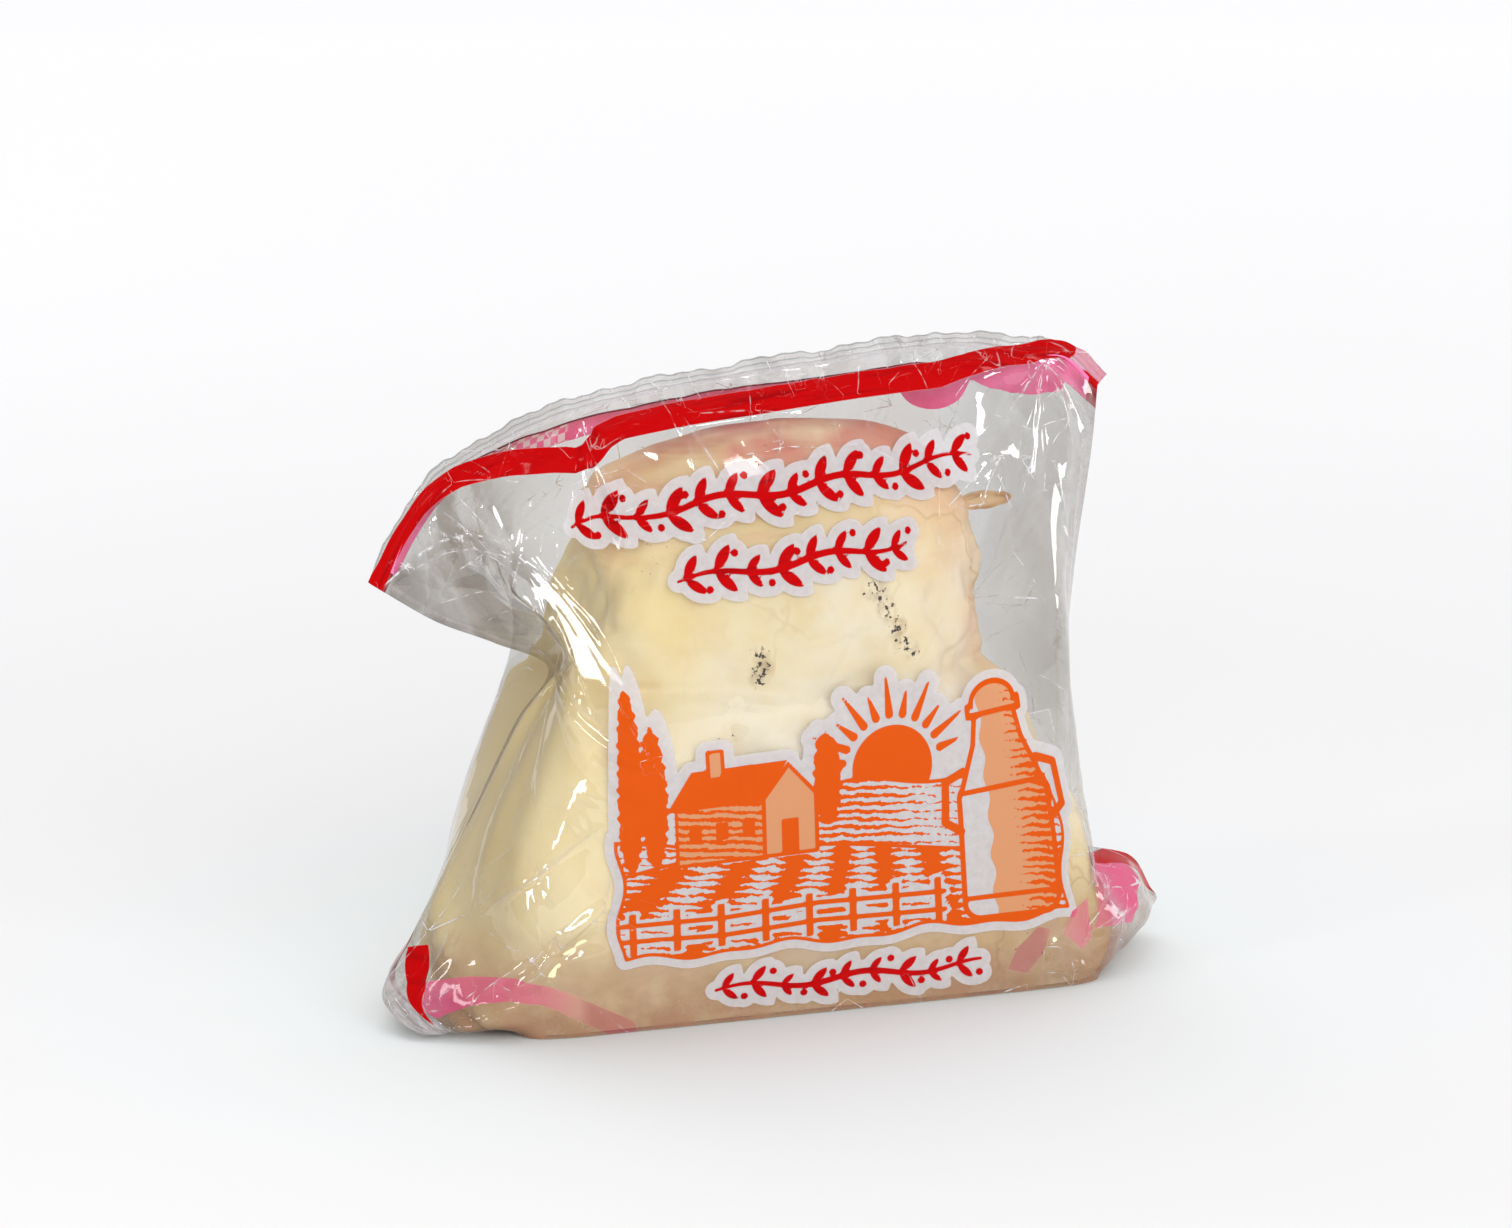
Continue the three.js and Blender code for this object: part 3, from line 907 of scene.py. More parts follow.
def film_shade(panel):
    """How grey the clear film looks, from 0 to 1: greyer in the ear and at the right, where it is folded; the
    grey that follows the facets' tilt and the greyer left flank are painted shade.
    """
    s, v = panel.s, panel.v
    slopes = [np.gradient(high, axis=0) * ACROSS / FLAT_WIDTH for high in panel.heights[1:]]
    tilt, fine_tilt = np.clip(slopes, -1, 1)
    below_seam = (0.97, 1.0)
    ear = smooth(0.28, 0.17, s) * hump(v, (0.6, 0.76), below_seam)
    right = smooth(0.78, 0.9, s) * hump(v, (0.25, 0.5), below_seam)
    flank = smooth(0.36, 0.16, s) * smooth(0.64, 0.5, v)
    margin = smooth(0.3, 0.36, s) * smooth(0.955, 0.975, v)
    under_fold = smooth(2, -2, panel.w - np.interp(panel.u, *EAR_FOLD.T))
    # Greyer or clearer by each facet's tilt in the ear, at the right and in the margin: painted shade
    shade = 0.12 + ear * (0.3 + 0.26 * under_fold + 0.35 * tilt)
    shade += right * (0.26 + 0.12 * tilt)
    shade += margin * (0.3 * fine_tilt - 0.06)
    # The left flank, darker toward its edge: painted shade
    shade += 0.17 * flank
    shade += (0.04 + 0.14 * slackness(panel.u, panel.w)) * panel.heights[0] / FACET_SIZES[0][0]
    return np.clip(shade, 0, 1)


INKS = ("red", "orange", "peach", "white", "pink")
# Offset that keeps the textures of the two panels apart
PANEL_OFFSET = 30.0


def panel_print(panel):
    """Values at a panel's points, by name, and the points' places in the textures."""
    a, b = (panel.s - PRINT_CENTRE) * PRINT_WIDTH, panel.w
    inks = {name: np.full(a.shape, FAR) for name in INKS}
    inks["red"], inks["pink"] = side_print(panel)
    tone = np.zeros(a.shape)
    if panel.side == FRONT:
        red, inks["orange"], inks["peach"], inks["white"], tone = front_print(a, b)
        inks["red"] = union(inks["red"], red)
    values = {"ink_" + name: np.clip(inks[name], -FAR, FAR) for name in INKS}
    values.update(tone=tone, shade=film_shade(panel), white_crease=panel.white, glint=glint(panel))
    place = np.stack([a, b, np.full(a.shape, PANEL_OFFSET * panel.side)], -1)
    return {name: value.ravel() for name, value in values.items()}, place.reshape(-1, 3)


# Meshes
def link(made):
    bpy.context.scene.collection.objects.link(made)
    return made


def new_mesh(name, points, faces):
    """A smooth-shaded mesh object from points in millimetres."""
    data = bpy.data.meshes.new(name)
    data.from_pydata((np.asarray(points) * MM).tolist(), [], faces)
    data.validate()
    data.polygons.foreach_set("use_smooth", np.ones(len(data.polygons), bool))
    data.update()
    return link(bpy.data.objects.new(name, data))


def grid_faces(index):
    quads = np.stack([index[:-1, :-1], index[1:, :-1], index[1:, 1:], index[:-1, 1:]], -1)
    return quads.reshape(-1, 4).tolist()


def tube_faces(rows, around):
    """Faces of a tube of rings, shut at both ends."""
    ring = np.arange(rows * around).reshape(rows, around)
    after = np.roll(ring, -1, 1)
    quads = np.stack([ring[:-1], after[:-1], after[1:], ring[1:]], -1).reshape(-1, 4)
    return quads.tolist() + [ring[0][::-1].tolist(), ring[-1].tolist()]


def film_piece(name, points, faces, values, place):
    """A mesh with values at its points, by name, and the points' places in the textures."""
    made = new_mesh(name, points, faces)
    attributes = made.data.attributes
    for key, value in values.items():
        attributes.new(key, "FLOAT", "POINT").data.foreach_set("value", value.astype(np.float32))
    flat = np.asarray(place, np.float32).ravel()
    attributes.new("panel", "FLOAT_VECTOR", "POINT").data.foreach_set("vector", flat)
    return made


BASE_ROWS = 10
BASE_PLACE = (0, 60.0, 30.0)

front = Panel(FRONT)
back = Panel(BACK)
index = np.arange(front.s.size).reshape(front.s.shape)
front_points = front.points.reshape(-1, 3)
front_faces = grid_faces(index)
film_front = film_piece("film_front", front_points, front_faces, *panel_print(front))

# The back panel carries the base, in rows from the front panel's foot to its own
values, place = panel_print(back)
row_share = np.arange(BASE_ROWS)[:, None, None] / BASE_ROWS
base = front.points[:, 0] + (back.points[:, 0] - front.points[:, 0]) * row_share
base_index = index.size + np.arange(base[..., 0].size).reshape(base.shape[:2])
base_index = np.concatenate([base_index, index[None, :, 0]])
for key in values:
    bare = FAR if key.startswith(("ink", "glint")) else 0.0
    values[key] = np.append(values[key], np.full(base[..., 0].size, bare))
place = np.concatenate([place, base.reshape(-1, 3) * (1, 0, 0) + BASE_PLACE])
back_points = np.concatenate([back.points.reshape(-1, 3), base.reshape(-1, 3)])
back_faces = [face[::-1] for face in grid_faces(index)] + grid_faces(base_index)
film_back = film_piece("film_back", back_points, back_faces, values, place)

# The back stripe's inner face, a paler strip just inside the back panel
STRIP_STEPS = 220
STRIP_ROWS = 8
STRIP_ENDS = (0.02, 0.985)
STRIP_INSET = 0.45
STRIP_TOP = 0.4


def stripe_inside():
    inner = back.points - back.normals * STRIP_INSET
    share = np.linspace(*STRIP_ENDS, STRIP_STEPS + 1)
    middle = np.interp(share, *np.array(STRIPE[BACK]).T[:2])
    high_edge = np.maximum(middle - STRIPE_HALF, STRIP_TOP)
    low_edge = middle + STRIPE_HALF
    for centre, half, deep in BACK_LOBES:
        swell = deep * np.sqrt(np.clip(1 - ((share - centre) / half) ** 2, 0, 1))
        low_edge = np.where(swell > 0, np.maximum(low_edge, LOBE_TOP + swell), low_edge)
    points, places = [], []
    for k, column in enumerate(share * ACROSS):
        i = min(int(column), ACROSS - 1)
        t = column - i
        for depth in np.linspace(high_edge[k], low_edge[k], STRIP_ROWS + 1):
            left, right = [
                np.array([np.interp(-depth, -back.below[j], inner[j, :, axis]) for axis in range(3)])
                for j in (i, i + 1)]
            points.append(left * (1 - t) + right * t)
            places.append((share[k] * SEAM_LENGTH, depth, 0.0))
    grid = np.arange(len(points)).reshape(STRIP_STEPS + 1, STRIP_ROWS + 1)
    return film_piece("stripe_inside", points, grid_faces(grid.T), {}, places)


strip = stripe_inside()

# The cheese: height, left and right half width, front and back half depth
CHEESE = np.array([
    (0.6, 69, 64, 29, 28.4), (3, 72, 66, 30.4, 29.4), (10, 75, 67, 31.5, 30), (22, 76, 66, 32, 30.5),
    (36, 72, 62, 32.5, 30.5), (48, 67.5, 56, 31.5, 30), (58, 62, 48.5, 30.5, 28.5),
    (65.5, 55.5, 42.8, 28.8, 26.6), (69, 49.5, 41.3, 27.5, 25.4), (73, 45.5, 41.3, 27.8, 25.2),
    (82, 44.5, 41.8, 27, 24.5), (92, 43.5, 41.8, 24.5, 22.5), (101, 40.5, 40.5, 20.5, 19),
    (108.5, 35, 36.5, 15.5, 14.5), (114, 26, 29, 10, 9.5), (117.2, 14, 18, 5.5, 5), (118.4, 3, 3, 1.5, 1.5)])
CHEESE_AROUND = 200
CHEESE_LEVELS = 170
# Heights of evenly spaced levels: close together at the foot, the neck and the top
LEVEL_HEIGHTS = [0.6, 2.0, 18, 42, 62, 74, 98, 114, 118.4]
SMOOTHING = np.array([1, 2, 3, 2, 1]) / 9.0
# How square the section is at a height
SQUARENESS = ([0, 30, 55, 68, 80, 118], [9.0, 7.0, 4.2, 2.9, 2.7, 2.2])
SQUARER_CORNER = 1.4
# Swellings: height, size and seed; wrinkles: depth, size and seed
SWELLINGS = [(0.9, 34, 21), (0.6, 15, 22), (0.2, 6, 23)]
WRINKLES = [(0.7, 46, 24), (0.42, 27, 25)]
WRINKLE_WIDTH = 0.05
NECK_HEIGHT = 67.5
NECK_WAVE = 2.0
NECK_WIDTH = 1.9
NECK_DEPTH = 1.4
PLAIN_FOOT = 6
CHEESE_GAP = 0.7
CHEESE_GIVE = 1.5
RAY_LENGTH = 200.0


def lumps(p, scale, seed, count=24):
    """Soft random swellings of a size, from about -1 to 1."""
    rng = np.random.default_rng(seed)
    way = rng.normal(size=(count, 3))
    way /= np.linalg.norm(way, axis=1, keepdims=True)
    way *= (2 * np.pi / scale) * rng.uniform(0.6, 1.5, (count, 1))
    phase = rng.uniform(0, 2 * np.pi, count)
    return np.sin(p @ way.T + phase).sum(-1) / math.sqrt(count / 2)


def cheese_form():
    """Points of the plain cheese, in level rings."""
    count = len(LEVEL_HEIGHTS)
    z = np.interp(np.linspace(0, 1, CHEESE_LEVELS), np.linspace(0, 1, count), LEVEL_HEIGHTS)
    turn = np.linspace(0, 2 * np.pi, CHEESE_AROUND, endpoint=False)
    sizes = []
    for column in CHEESE.T[1:]:
        size = np.interp(z, CHEESE[:, 0], column)
        size[2:-2] = np.convolve(size, SMOOTHING, "valid")
        sizes.append(size[:, None])
    left, right, forward, rearward = sizes
    c, k = np.cos(turn), np.sin(turn)
    squarer = np.where((c < 0) & (k > 0), SQUARER_CORNER, 1.0)
    power = np.interp(z, *SQUARENESS)[:, None] * squarer
    r = (np.abs(c) ** power + np.abs(k) ** power) ** (-1 / power)
    x = np.where(c < 0, left, right) * r * c
    y = np.where(k < 0, forward, rearward) * r * k
    return np.stack([x, y, np.repeat(z[:, None], CHEESE_AROUND, 1)], -1)


def cheese_mesh(film):
    """The cheese with its swellings, wrinkles and neck, pressed flat where it meets the film."""
    form = cheese_form()
    x, y, z = np.moveaxis(form, -1, 0)
    middle = form * (0, 0, 1)
    outward = form - middle
    reach = np.linalg.norm(outward, axis=-1)
    outward /= np.maximum(reach, 1e-6)[..., None]
    relief = sum(high * lumps(form, size, seed) for high, size, seed in SWELLINGS)
    for deep, size, seed in WRINKLES:
        relief -= deep * np.exp(-((lumps(form, size, seed) / WRINKLE_WIDTH) ** 2))
    neck = NECK_HEIGHT + NECK_WAVE * np.sin(np.arctan2(y, x) * 2 + 0.8)
    reach += relief * smooth(0, PLAIN_FOOT, z) - NECK_DEPTH * np.exp(-(((z - neck) / NECK_WIDTH) ** 2))
    for at in np.ndindex(reach.shape):
        hit = film.ray_cast(Vector(middle[at]), Vector(outward[at]), RAY_LENGTH)
        if hit[0] is not None:
            room = hit[3] - CHEESE_GAP
            over = reach[at] - (room - CHEESE_GIVE)
            if over > 0:
                reach[at] = room - CHEESE_GIVE * math.exp(-over / CHEESE_GIVE)
    points = middle + outward * reach[..., None]
    return new_mesh("cheese", points.reshape(-1, 3), tube_faces(CHEESE_LEVELS, CHEESE_AROUND))


film_points = [Vector(q) for q in np.concatenate([front_points, back_points])]
film_faces = front_faces + (np.array(back_faces) + index.size).tolist()
cheese = cheese_mesh(BVHTree.FromPolygons(film_points, film_faces))

# The stub at the cheese's right shoulder: the flattened end of its strand, dished on its front
STUB_MIDDLE = (45.6, -1.5, 98.6)
STUB_HALF = (6.2, 1.9)
STUB_LEAN = 0.06
STUB_AROUND = 48
STUB_LUMPS = 0.1
# Share of the half size, and depth toward the front, from the middle of the back round the rim to the dish
STUB_PROFILE = [
    (0.02, -1.55), (0.3, -1.5), (0.6, -1.3), (0.85, -0.9), (0.97, -0.4), (1.0, 0.3), (0.95, 0.8),
    (0.86, 1.05), (0.76, 0.95), (0.66, 0.6), (0.52, 0.25), (0.3, 0.1), (0.02, 0.05)]


def stub_mesh():
    turn = np.linspace(0, 2 * np.pi, STUB_AROUND, endpoint=False)
    share, depth = [np.array(column)[:, None] for column in zip(*STUB_PROFILE)]
    x = STUB_HALF[0] * share * np.cos(turn)
    z = STUB_HALF[1] * share * np.sin(turn) + STUB_LEAN * x
    rings = np.stack([x, -depth + 0 * x, z], -1)
    rings += STUB_LUMPS * lumps(rings, 4, 41)[..., None] * share[..., None]
    return new_mesh("stub", rings.reshape(-1, 3) + STUB_MIDDLE, tube_faces(len(STUB_PROFILE), STUB_AROUND))


stub = stub_mesh()

# Materials
FRONT_LIGHT = 1.58


def srgb(r, g, b):
    def linear(c):
        c /= 255
        return c / 12.92 if c <= 0.04045 else ((c + 0.055) / 1.055) ** 2.4
    return (linear(r), linear(g), linear(b), 1.0)


def ink_colour(r, g, b):
    """The ink that shows as this colour in the light that falls on the front."""
    return tuple(c / FRONT_LIGHT for c in srgb(r, g, b)[:3]) + (1.0,)


class Nodes:
    """Short ways to add nodes to a material."""

    def __init__(self, name):
        self.material = bpy.data.materials.new(name)
        self.material.use_nodes = True
        self.tree = self.material.node_tree
        self.tree.nodes.clear()

    def add(self, kind, values=None, **settings):
        node = self.tree.nodes.new(kind)
        for key, value in settings.items():
            setattr(node, key, value)
        for key, value in (values or {}).items():
            self.put(node.inputs[key], value)
        return node

    def put(self, socket, value):
        if isinstance(value, bpy.types.NodeSocket):
            self.tree.links.new(value, socket)
        else:
            socket.default_value = value

    def math(self, operation, *values, clamp=False):
        values = dict(enumerate(values))
        return self.add("ShaderNodeMath", values, operation=operation, use_clamp=clamp).outputs[0]

    def chain(self, operation, values):
        total = values[0]
        for value in values[1:]:
            total = self.math(operation, total, value)
        return total

    def times(self, *values):
        return self.chain("MULTIPLY", values)

    def plus(self, *values):
        return self.chain("ADD", values)

    def most(self, *values):
        return self.chain("MAXIMUM", values)

    def inverse(self, value):
        return self.math("SUBTRACT", 1.0, value)

    def gap(self, a, b):
        return self.math("ABSOLUTE", self.math("SUBTRACT", a, b))

    def ramp(self, value, low, high, to_low=0.0, to_high=1.0):
        """From to_low at low to to_high at high, level beyond; low may be the larger."""
        limits = {"From Min": low, "From Max": high, "To Min": to_low, "To Max": to_high}
        return self.add("ShaderNodeMapRange", {"Value": value, **limits}).outputs[0]

    def mix(self, share, a, b):
        return self.add("ShaderNodeMix", {0: share, 6: a, 7: b}, data_type="RGBA").outputs[2]

    def vector(self, operation, *values):
        """Vector result of an operation on vectors."""
        return self.add("ShaderNodeVectorMath", dict(enumerate(values)), operation=operation).outputs[0]

    def length(self, vector):
        return self.add("ShaderNodeVectorMath", {0: vector}, operation="LENGTH").outputs["Value"]

    def split(self, vector):
        return list(self.add("ShaderNodeSeparateXYZ", {"Vector": vector}).outputs)

    def place(self):
        return self.add("ShaderNodeTexCoord").outputs["Object"]

    def attribute(self, name, output="Fac"):
        return self.add("ShaderNodeAttribute", attribute_name=name).outputs[output]

    def noise(self, vector, scale, detail=2.0, rough=0.5, distortion=0.0):
        values = {"Scale": scale, "Detail": detail, "Roughness": rough, "Distortion": distortion}
        return self.add("ShaderNodeTexNoise", {"Vector": vector, **values}).outputs["Fac"]

    def bump(self, height, strength, distance):
        values = {"Height": height, "Strength": strength, "Distance": distance}
        return self.add("ShaderNodeBump", values).outputs[0]

    def principled(self, values):
        return self.add("ShaderNodeBsdfPrincipled", values).outputs[0]

    def blend(self, share, a, b):
        return self.add("ShaderNodeMixShader", {"Fac": share, 1: a, 2: b}).outputs[0]

    def finish(self, shader):
        out = self.add("ShaderNodeOutputMaterial")
        self.tree.links.new(shader, out.inputs["Surface"])
        return self.material


# Half width of an ink's soft edge
INK_EDGE = 0.07
SEAL_LINES = (134.6, 135.7, 136.8)
CLEAR_FILM = (0.885, 0.882, 0.875, 1)
GREY_FILM = (0.5, 0.472, 0.435, 1)
SEAL_LINE = (0.4, 0.39, 0.38, 1)


def hatching(n, place, across, up):
    """Wavering strokes of orange, wider where the tone is stronger."""
    tone = n.attribute("tone")
    wobble = n.noise(place, 0.3, 3.0, 0.6)
    slant = n.plus(n.times(across, 0.5), n.times(up, 3.6))
    wave = n.math("SINE", n.plus(slant, n.times(wobble, 8.0)))
    level = n.plus(n.times(wave, 0.36), n.times(n.noise(place, 0.9, 2.0, 0.6), 0.9))
    return n.times(n.ramp(n.math("SUBTRACT", tone, level), -0.03, 0.03), n.ramp(tone, 0.02, 0.1))


def folded_base_and_foot_shade(n, place, across, up, side):
    """How much tan is laid over the front's foot: painted shade of the cheese's shaded foot seen through the
    film, and the film folded under the base.
    """
    width = n.times(n.ramp(across, -87.0, -81.0), n.ramp(across, 80.0, 66.0), n.ramp(side, 1.0, -1.0))
    patches = n.ramp(n.noise(place, 0.12, 3.0, 0.6), 0.3, 0.65, 0.42, 0.7)
    return n.times(n.ramp(up, 27.0, 3.0), patches, width)


def film_print(n, place):
    """The colour on the film and how much it covers: the inks, painted shade at the foot, creases painted
    white, the weld, and bright lines that are painted highlights.
    """
    across, up, side = n.split(place)
    worn = n.noise(place, 0.5, 4.0, 0.6)
    red, orange, peach, white, pink = [n.ramp(n.attribute("ink_" + ink), INK_EDGE, -INK_EDGE) for ink in INKS]
    orange = n.most(orange, hatching(n, place, across, up))
    off_middle = n.math("ABSOLUTE", across)
    under_base = n.times(n.ramp(off_middle, 30.0, 32.0), n.ramp(off_middle, 56.0, 48.0))
    # The outer pink is lightened to make up for the dimmer light on the right ear: painted light over the
    # ink's own pink
    pinks = n.mix(under_base, ink_colour(252, 96, 148), ink_colour(206, 96, 104))
    outer = n.most(n.ramp(off_middle, 46.0, 68.0, 0.28, 0.62), n.ramp(across, 60.0, 68.0, 0.0, 0.9))
    pink_cover = n.times(n.most(outer, n.times(under_base, 0.55)), n.ramp(up, 60.0, 100.0, 1.0, 0.6))
    foot_shade = n.times(folded_base_and_foot_shade(n, place, across, up, side), n.inverse(n.most(white, pink)))
    blotches = n.ramp(n.noise(place, 0.07, 3.0, 0.6), 0.4, 0.6)
    # Tan of the front's foot: painted shade of the cheese's foot seen through the film
    tan = n.mix(blotches, ink_colour(196, 136, 108), ink_colour(200, 153, 114))
    # Darker red lines along the stripe: painted shade in its folds
    lengthwise = n.vector("MULTIPLY", place, (0.05, 0.7, 0.05))
    pleat_shade = n.ramp(n.noise(lengthwise, 1.0, 4.0, 0.65, 0.6), 0.52, 0.68, 0.0, 0.7)
    reds_with_pleat_shade = n.mix(pleat_shade, ink_colour(216, 0, 4), ink_colour(160, 0, 8))
    weld = n.times(n.ramp(n.gap(up, FLAT_HEIGHT), 0.45, 0.25), n.ramp(worn, 0.35, 0.65, 0.4, 0.65))
    weld = n.times(weld, n.inverse(red))
    # Bright lines along creases: painted highlights in near white
    glints = n.ramp(n.math("ABSOLUTE", n.attribute("glint")), 1.3, 0.6)
    broken = n.ramp(n.noise(place, 0.45, 2.0, 0.5), 0.44, 0.6, 0.04, 0.9)
    bright = n.times(glints, broken, n.ramp(red, 0.0, 1.0, 1.0, 0.4))
    # Creases painted white: partly whitened film, partly painted highlight and reflection
    creased = n.times(n.attribute("white_crease"), n.ramp(worn, 0.35, 0.65, 0.08, 0.4))
    colour = ink_colour(238, 232, 234)
    cover = n.most(n.times(white, n.ramp(worn, 0.3, 0.7, 0.7, 0.86)), creased)
    layers = [
        (peach, ink_colour(247, 172, 122), n.times(peach, 0.9)),
        (orange, ink_colour(246, 96, 12), n.times(orange, white)),
        (pink, pinks, n.times(pink, pink_cover)),
        (n.ramp(foot_shade, 0.0, 0.01), tan, foot_shade),
        (red, reds_with_pleat_shade, red),
        (weld, ink_colour(246, 242, 244), weld),
        (bright, ink_colour(252, 250, 252), bright)]
    for mask, ink, share in layers:
        colour = n.mix(mask, colour, ink)
        cover = n.most(cover, share)
    return colour, cover


def film_material():
    """Clear glossy film, greyer where it is folded and where shade is painted, with the print and painted
    highlights on it.
    """
    n = Nodes("film")
    place = n.attribute("panel", "Vector")
    colour, cover = film_print(n, place)
    ink = n.principled({"Base Color": colour, "Roughness": 0.1, "Specular IOR Level": 0.1})
    # The film's grey follows its shade value, part of which is painted shade
    grey = n.mix(n.attribute("shade"), CLEAR_FILM, GREY_FILM)
    for height in SEAL_LINES:
        grey = n.mix(n.ramp(n.gap(n.split(place)[1], height), 0.2, 0.1, 0.0, 0.28), grey, SEAL_LINE)
    clear = n.add("ShaderNodeBsdfTransparent", {"Color": grey}).outputs[0]
    gloss = n.add("ShaderNodeBsdfGlossy", {"Color": (1, 1, 1, 1), "Roughness": 0.045}).outputs[0]
    facing = n.add("ShaderNodeLayerWeight", {"Blend": 0.5}).outputs["Facing"]
    shine = n.plus(n.times(n.math("POWER", facing, 5.0), 0.75), 0.085)
    return n.finish(n.blend(cover, n.blend(shine, clear, gloss), ink))


def strip_material():
    """Pink of the stripe's inner face, lightened as painted light for the light shining through it, faded in
    places, with a chequered stretch.
    """
    n = Nodes("stripe_inside")
    place = n.attribute("panel", "Vector")
    faded = n.ramp(n.noise(place, 0.08, 3.0, 0.6), 0.35, 0.65)
    # Pinks lightened to stand in for light shining through the stripe from behind: painted light
    colour = n.mix(faded, srgb(253, 128, 180), srgb(244, 88, 146))
    lengthwise = n.split(place)[0]
    stretch = n.times(n.ramp(lengthwise, 42.0, 43.0), n.ramp(lengthwise, 67.0, 66.0))
    checks = n.add("ShaderNodeTexChecker", {"Vector": place, "Scale": 0.5}).outputs["Fac"]
    colour = n.mix(n.times(checks, stretch, 0.8), colour, srgb(246, 236, 240))
    return n.finish(n.principled({"Base Color": colour, "Roughness": 0.4}))


def stub_material():
    """Dry tan, paler in the dish."""
    n = Nodes("stub")
    place = n.place()
    dry = n.ramp(n.noise(place, 260.0, 4.0, 0.6), 0.35, 0.65)
    colour = n.mix(dry, srgb(226, 186, 132), srgb(188, 140, 92))
    dish = n.ramp(n.split(place)[1], -2.5 * MM, -1.8 * MM)
    colour = n.mix(n.times(dish, 0.55), colour, srgb(236, 214, 178))
    bump = n.bump(n.noise(place, 520.0, 4.0, 0.6), 0.5, 0.5 * MM)
    return n.finish(n.principled({"Base Color": colour, "Roughness": 0.5, "Normal": bump}))


# Sooty spots on the front of the head: place across and up, and reach
SOOT_SPOTS = [
    (13.3, 86.6, 4.6), (14.7, 84.8, 3.8), (15.6, 82.5, 3.6), (16.6, 80.6, 3.8), (17.6, 78.6, 3.2),
    (18.7, 75.6, 3.4), (20.1, 74.1, 3.0), (-13.1, 76.2, 3.0), (-12.8, 73.6, 3.4), (-13.4, 71.2, 2.8)]
SOOT_DEPTH = -28.0
SOOT_FLATNESS = (1.0, 0.3, 1.0)


def soot_share(n, place):
    """How sooty the cheese is, from 0 to 1: faint clouds, and the spots on the head."""
    soot = n.ramp(n.noise(place, 30.0, 2.0, 0.5), 0.6, 0.75, 0.0, 0.4)
    for across, up, reach in SOOT_SPOTS:
        offset = n.vector("SUBTRACT", place, (across * MM, SOOT_DEPTH * MM, up * MM))
        away = n.length(n.vector("MULTIPLY", offset, SOOT_FLATNESS))
        soot = n.most(soot, n.ramp(away, reach * MM, reach * MM * 0.3))
    return soot


def crack_share(n, place, x):
    """Fine cracks in patches, right of the left flank."""
    swirl = n.add("ShaderNodeTexNoise", {"Vector": place, "Scale": 55.0, "Detail": 3.0}).outputs["Color"]
    bent = n.vector("MULTIPLY_ADD", swirl, (0.03, 0.03, 0.03), place)
    cells = n.add("ShaderNodeTexVoronoi", {"Vector": bent, "Scale": 30.0}, feature="DISTANCE_TO_EDGE")
    lines = n.ramp(cells.outputs["Distance"], 0.022, 0.0)
    return n.times(lines, n.ramp(n.noise(place, 26.0, 2.0, 0.5), 0.47, 0.6), n.ramp(x, -0.035, -0.01))


def cheese_material():
    """Cream rind with a warm left flank, smoky top and right shoulder, cracks, streaks and soot."""
    n = Nodes("cheese")
    place = n.place()
    x, _, z = n.split(place)
    cloud = n.ramp(n.noise(place, 22.0, 4.0, 0.55, 0.4), 0.38, 0.62)
    smoke = n.plus(n.ramp(z, 0.092, 0.116), n.times(n.ramp(x, 0.02, 0.042), n.ramp(z, 0.055, 0.075)))
    drift = n.ramp(n.noise(place, 35.0, 4.0, 0.6, 0.6), 0.3, 0.62)
    smoke = n.math("MULTIPLY", smoke, drift, clamp=True)
    mottle = n.ramp(n.noise(place, 70.0, 4.0, 0.6), 0.5, 0.7, 0.0, 0.4)
    stretched = n.vector("MULTIPLY", place, (18.0, 40.0, 190.0))
    streaks = n.ramp(n.noise(stretched, 1.0, 3.0, 0.6, 0.5), 0.52, 0.66, 0.0, 0.6)
    blush = n.ramp(n.noise(place, 48.0, 3.0, 0.5), 0.46, 0.62, 0.0, 0.7)
    soot = soot_share(n, place)
    stain = n.ramp(n.noise(place, 240.0, 3.0, 0.6), 0.42, 0.62)
    specks = n.ramp(n.plus(n.noise(place, 850.0, 3.0, 0.6), n.times(soot, 0.17)), 0.7, 0.75)
    tints = [
        (n.times(n.ramp(x, 0.0, -0.045), 0.75), srgb(252, 230, 170)),
        (n.times(smoke, 0.75), srgb(236, 180, 136)),
        (mottle, srgb(238, 208, 148)),
        (n.times(crack_share(n, place, x), 0.6), srgb(210, 172, 116)),
        (n.times(streaks, n.ramp(z, 0.088, 0.104)), srgb(226, 158, 126)),
        (n.times(blush, n.ramp(z, 0.103, 0.113)), srgb(226, 128, 112)),
        (n.times(stain, n.ramp(soot, 0.2, 1.0, 0.0, 0.6)), srgb(170, 146, 108)),
        (n.times(specks, n.ramp(soot, 0.02, 0.2)), srgb(52, 40, 28))]
    colour = n.mix(cloud, srgb(254, 248, 232), srgb(250, 228, 172))
    for share, tint in tints:
        colour = n.mix(share, colour, tint)
    grain = n.plus(n.times(n.noise(place, 160.0, 4.0, 0.6), 0.4), n.noise(place, 45.0, 3.0, 0.5))
    return n.finish(n.principled({
        "Base Color": colour, "Roughness": 0.42, "Subsurface Weight": 0.12, "Subsurface Scale": 0.5,
        "Subsurface Radius": (0.006, 0.004, 0.002), "Normal": n.bump(grain, 0.45, 1.4 * MM)}))


film_look = film_material()
film_front.data.materials.append(film_look)
film_back.data.materials.append(film_look)
cheese.data.materials.append(cheese_material())
strip.data.materials.append(strip_material())
stub.data.materials.append(stub_material())
slots = ((film_front, "film"), (film_back, "film"), (cheese, "cheese"), (stub, "cheese"), (strip, "print"))
for piece, slot in slots:
    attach(piece, "root")
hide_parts("bag")
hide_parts("bag")

# Floor: half its width and its height
FLOOR_HALF = 12000.0
FLOOR_HEIGHT = -0.2


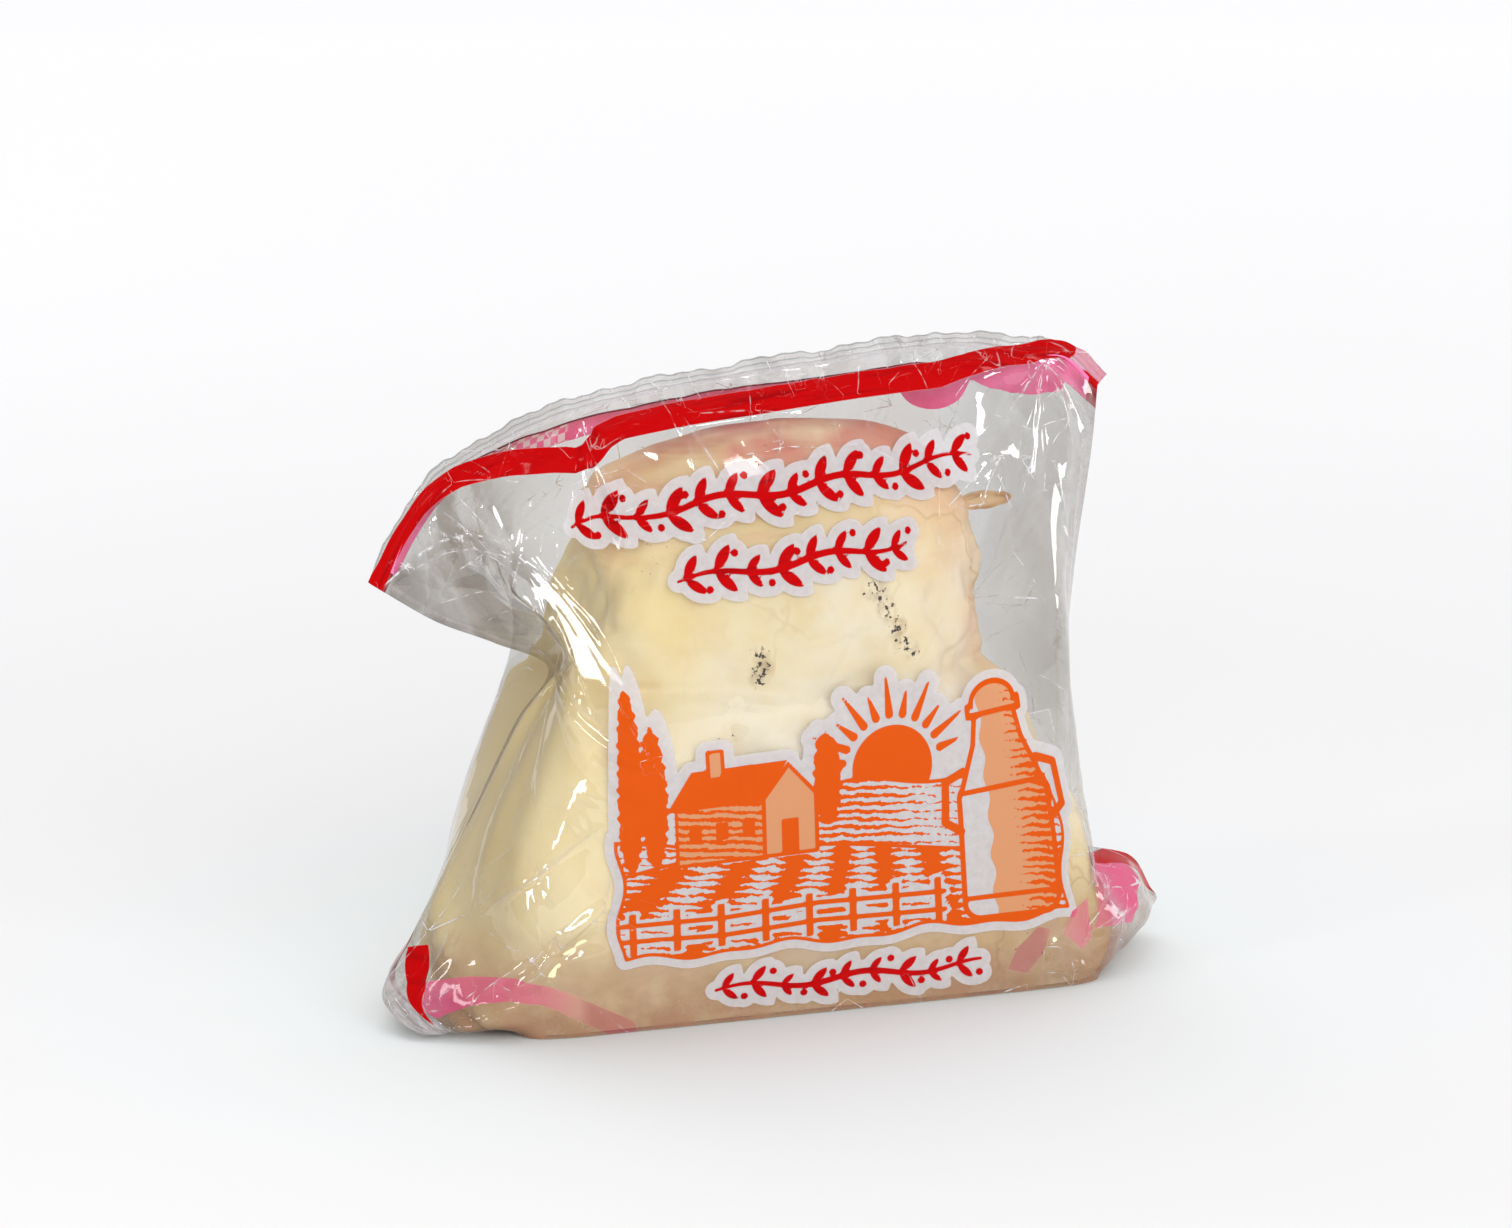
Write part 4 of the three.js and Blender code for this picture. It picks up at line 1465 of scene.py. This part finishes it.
def floor_material():
    """Pale paper, a little darker and cooler round the bag: painted shade against the lamps' pool of light
    there and the pink light bounced off the print.
    """
    n = Nodes("floor")
    away = n.length(n.place())
    # Darker and cooler near the bag: painted shade that evens out the lamps' pool of light and the pink
    # bounce
    shade = n.mix(n.ramp(away, 0.07, 0.17), (0.71, 0.745, 0.748, 1), (0.75, 0.747, 0.75, 1))
    shade = n.mix(n.ramp(away, 0.3, 1.4), shade, (0.92, 0.915, 0.92, 1))
    return n.finish(n.principled({"Base Color": shade, "Roughness": 0.7, "Specular IOR Level": 0.2}))


floor_corners = [(-1, -1), (1, -1), (1, 1), (-1, 1)]
floor_points = [(x * FLOOR_HALF, y * FLOOR_HALF, FLOOR_HEIGHT) for x, y in floor_corners]
floor = new_mesh("floor", floor_points, [(0, 1, 2, 3)])
floor.data.materials.append(floor_material())

# Light and camera. Directions are azimuth, 0 being the front and growing to the right, and elevation
WORLD_COLOUR = (0.97, 0.975, 1.0, 1)
WORLD_STRENGTH = 0.47
# Panel lamps: name, azimuth, elevation, size across and up in metres, radiance
LAMPS = [
    ("front_window", -21, 25, (0.36, 0.25), 10.0), ("right_window", 60, 25, (0.13, 0.13), 11.0),
    ("left_window", -46, 9, (0.1, 0.2), 12.0), ("left_far", -76, 30, (0.12, 0.3), 9.0),
    ("right_panel", 96, 6, (0.35, 0.2), 7.0), ("over_right", 32, 57, (0.09, 0.06), 11.0),
    ("behind", 190, 35, (0.5, 0.1), 6.0)]
LAMP_CENTRE = Vector((0, 0, 0.07))
LAMP_DISTANCE = 1.25
# Wide soft lights, not mirrored by the film: name, azimuth, elevation, strength
DAYLIGHT = [("key", 8, 18, 1.95), ("overhead", 165, 62, 1.5)]
DAYLIGHT_ANGLE = 60
CAMERA_AZIMUTH = -19.8
CAMERA_ELEVATION = 13.2
CAMERA_AIM = Vector((-0.0041, 0.0, 0.0778))
CAMERA_DISTANCE = 1.3
CAMERA_LENS = 150.0
SENSOR_WIDTH = 36.0


def placed(name, data, azimuth, elevation, centre, distance):
    """A lamp or camera at a distance from a centre, looking back at it."""
    a, e = math.radians(azimuth), math.radians(elevation)
    toward = Vector((math.sin(a) * math.cos(e), -math.cos(a) * math.cos(e), math.sin(e)))
    made = link(bpy.data.objects.new(name, data))
    made.location = centre + toward * distance
    made.rotation_euler = (-toward).to_track_quat("-Z", "Y").to_euler()
    return made


scene = bpy.context.scene
scene.world = scene.world or bpy.data.worlds.new("world")
scene.world.use_nodes = True
background = scene.world.node_tree.nodes["Background"]
background.inputs["Color"].default_value = WORLD_COLOUR
background.inputs["Strength"].default_value = WORLD_STRENGTH

for name, azimuth, elevation, size, radiance in LAMPS:
    data = bpy.data.lights.new(name, "AREA")
    data.shape = "RECTANGLE"
    data.size, data.size_y = size
    data.energy = math.pi * size[0] * size[1] * radiance
    placed(name, data, azimuth, elevation, LAMP_CENTRE, LAMP_DISTANCE)

for name, azimuth, elevation, strength in DAYLIGHT:
    data = bpy.data.lights.new(name, "SUN")
    data.energy = strength
    data.angle = math.radians(DAYLIGHT_ANGLE)
    placed(name, data, azimuth, elevation, LAMP_CENTRE, LAMP_DISTANCE).visible_glossy = False

data = bpy.data.cameras.new("camera")
data.lens = CAMERA_LENS
data.sensor_width = SENSOR_WIDTH
scene.camera = placed("camera", data, CAMERA_AZIMUTH, CAMERA_ELEVATION, CAMERA_AIM, CAMERA_DISTANCE)
scene.view_settings.view_transform = "Standard"
